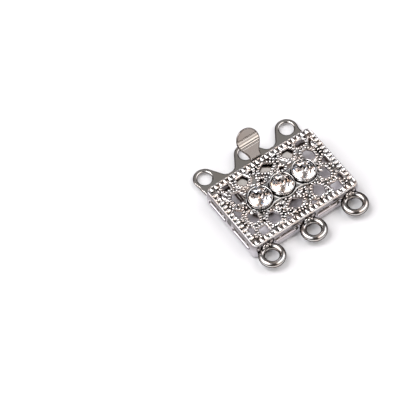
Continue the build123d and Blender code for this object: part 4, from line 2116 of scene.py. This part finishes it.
@dataclass(frozen=True)
class Patch:
    """A soft round area of the surroundings, whose edge fades between an inner and an outer angle."""

    azimuth: float
    elevation: float
    inner: float
    outer: float
    glow: Colour


@dataclass(frozen=True)
class Lamp:
    """A square soft light that looks at the clasp."""

    name: str
    azimuth: float
    elevation: float
    distance: float
    size: float
    power: float

    def build(self) -> None:
        """Makes the lamp."""
        data = bpy.data.lights.new(self.name, "AREA")
        data.shape = "SQUARE"
        data.size = self.size * MM
        data.energy = self.power
        way = direction(self.azimuth, self.elevation)
        lamp = linked(self.name, data)
        lamp.location = way * self.distance * MM
        lamp.rotation_mode = "QUATERNION"
        lamp.rotation_quaternion = way.to_track_quat("Z", "Y")


@dataclass
class Studio:
    """Board, light and camera.

    A band is the range of a direction's z in which one glow of the surroundings passes into the next.
    """

    azimuth: float = 31.645
    elevation: float = 57.352
    roll: float = -4.059
    across: float = 11.78
    above: float = 0.65
    distance: float = 400.0
    focal_pixels: float = 2722.0
    picture: float = 400.0
    sensor: float = 36.0
    clip: tuple[float, float] = (0.01, 10.0)
    board_radius: float = 600.0
    board_level: float = -0.01
    board_sides: int = 24
    key: Lamp = Lamp("key_light", -60.0, 72.0, 420.0, 120.0, 0.30)
    low_glow: Colour = (0.36, 0.335, 0.34)
    high_glow: Colour = (0.12, 0.115, 0.125)
    high_band: tuple[float, float] = (0.1, 0.45)
    horizon_glow: Colour = (0.10, 0.085, 0.075)
    horizon_band: tuple[float, float] = (0.06, 0.16)
    patches: tuple[Patch, ...] = (
        Patch(-148.0, 35.0, 28.0, 42.0, (0.07, 0.065, 0.06)),
        Patch(-72.0, 52.0, 24.0, 36.0, (2.6, 2.58, 2.66)),
        Patch(35.0, 58.0, 10.0, 18.0, (0.275, 0.27, 0.265)),
        Patch(61.0, 71.0, 6.0, 12.0, (0.58, 0.56, 0.54)),
        Patch(112.0, 50.0, 20.0, 32.0, (2.1, 2.08, 2.16)),
        Patch(150.0, 54.0, 10.0, 19.0, (2.3, 2.15, 2.0)),
        Patch(17.0, 24.0, 9.0, 16.0, (1.6, 1.6, 1.7)),
        Patch(62.0, 10.0, 12.0, 26.0, (0.14, 0.12, 0.11)),
        Patch(163.0, 18.0, 16.0, 26.0, (0.57, 0.52, 0.50)),
        Patch(163.0, 40.0, 5.0, 12.0, (0.95, 0.90, 0.87)),
    )

    def board(self) -> None:
        """The round white board under the clasp."""
        around = np.arange(self.board_sides)
        points = self.board_radius * np.vstack([rays(around * FULL_TURN / self.board_sides), [[0, 0]]])
        tris = np.stack([around, np.roll(around, -1), np.full(self.board_sides, self.board_sides)], axis=1)
        shell = Shell(np.column_stack([points, np.full(len(points), self.board_level)]), tris=tris)
        Stage.place("board", shell, (BOARD,))

    def surroundings(self) -> None:
        """A tent of soft light: a dark horizon, pale above it, dark towards the top, with patches."""
        world = bpy.data.worlds.new("light_tent")
        bpy.context.scene.world = world
        world.use_nodes = True
        bench = Bench(world.node_tree)
        way = bench.add("ShaderNodeTexCoord", out="Generated")
        height = bench.add("ShaderNodeSeparateXYZ", {}, {0: way}, "Z")
        colour = bench.blend(bench.ranged(height, *self.high_band), self.low_glow, self.high_glow)
        for patch in self.patches:
            facing = bench.add("ShaderNodeVectorMath", {"operation": "DOT_PRODUCT"},
                               {0: way, 1: direction(patch.azimuth, patch.elevation)}, "Value")
            edge = (math.cos(math.radians(angle)) for angle in (patch.outer, patch.inner))
            colour = bench.blend(bench.ranged(facing, *edge), colour, patch.glow)
        colour = bench.blend(bench.ranged(height, *self.horizon_band), self.horizon_glow, colour)
        light = bench.add("ShaderNodeBackground", {}, {"Color": colour, "Strength": 1.0})
        bench.add("ShaderNodeOutputWorld", {}, {"Surface": light})

    def camera(self) -> None:
        """The camera, aimed as in the photograph."""
        roll = math.radians(self.roll)
        look = direction(self.azimuth, -self.elevation)
        level = direction(self.azimuth + 90, 0)
        upward = level.cross(look)
        right = level * math.cos(roll) + upward * math.sin(roll)
        up = upward * math.cos(roll) - level * math.sin(roll)
        eye = (-look * self.distance - right * self.across - up * self.above) * MM
        data = bpy.data.cameras.new("camera")
        data.sensor_width = self.sensor
        data.lens = self.focal_pixels * self.sensor / self.picture
        data.clip_start, data.clip_end = self.clip
        camera = linked("camera", data)
        camera.matrix_world = Matrix.Translation(eye) @ Matrix((right, up, -look)).transposed().to_4x4()
        bpy.context.scene.camera = camera

    def build(self) -> None:
        """Sets up board, light and camera."""
        self.board()
        self.surroundings()
        self.key.build()
        self.camera()
        view = bpy.context.scene.view_settings
        view.view_transform = "Standard"
        view.look = "None"


def main() -> None:
    """Builds the clasp's looks and the studio round it."""
    logging.basicConfig(level=logging.INFO, format="%(name)s %(message)s")
    settings = Settings()
    PiercedTop().build(settings.strip_outside)
    Casing().build()
    settings.build()
    Loops().build()
    Tongue().build()
    Studio().build()


if __name__ == "__main__":
    main()
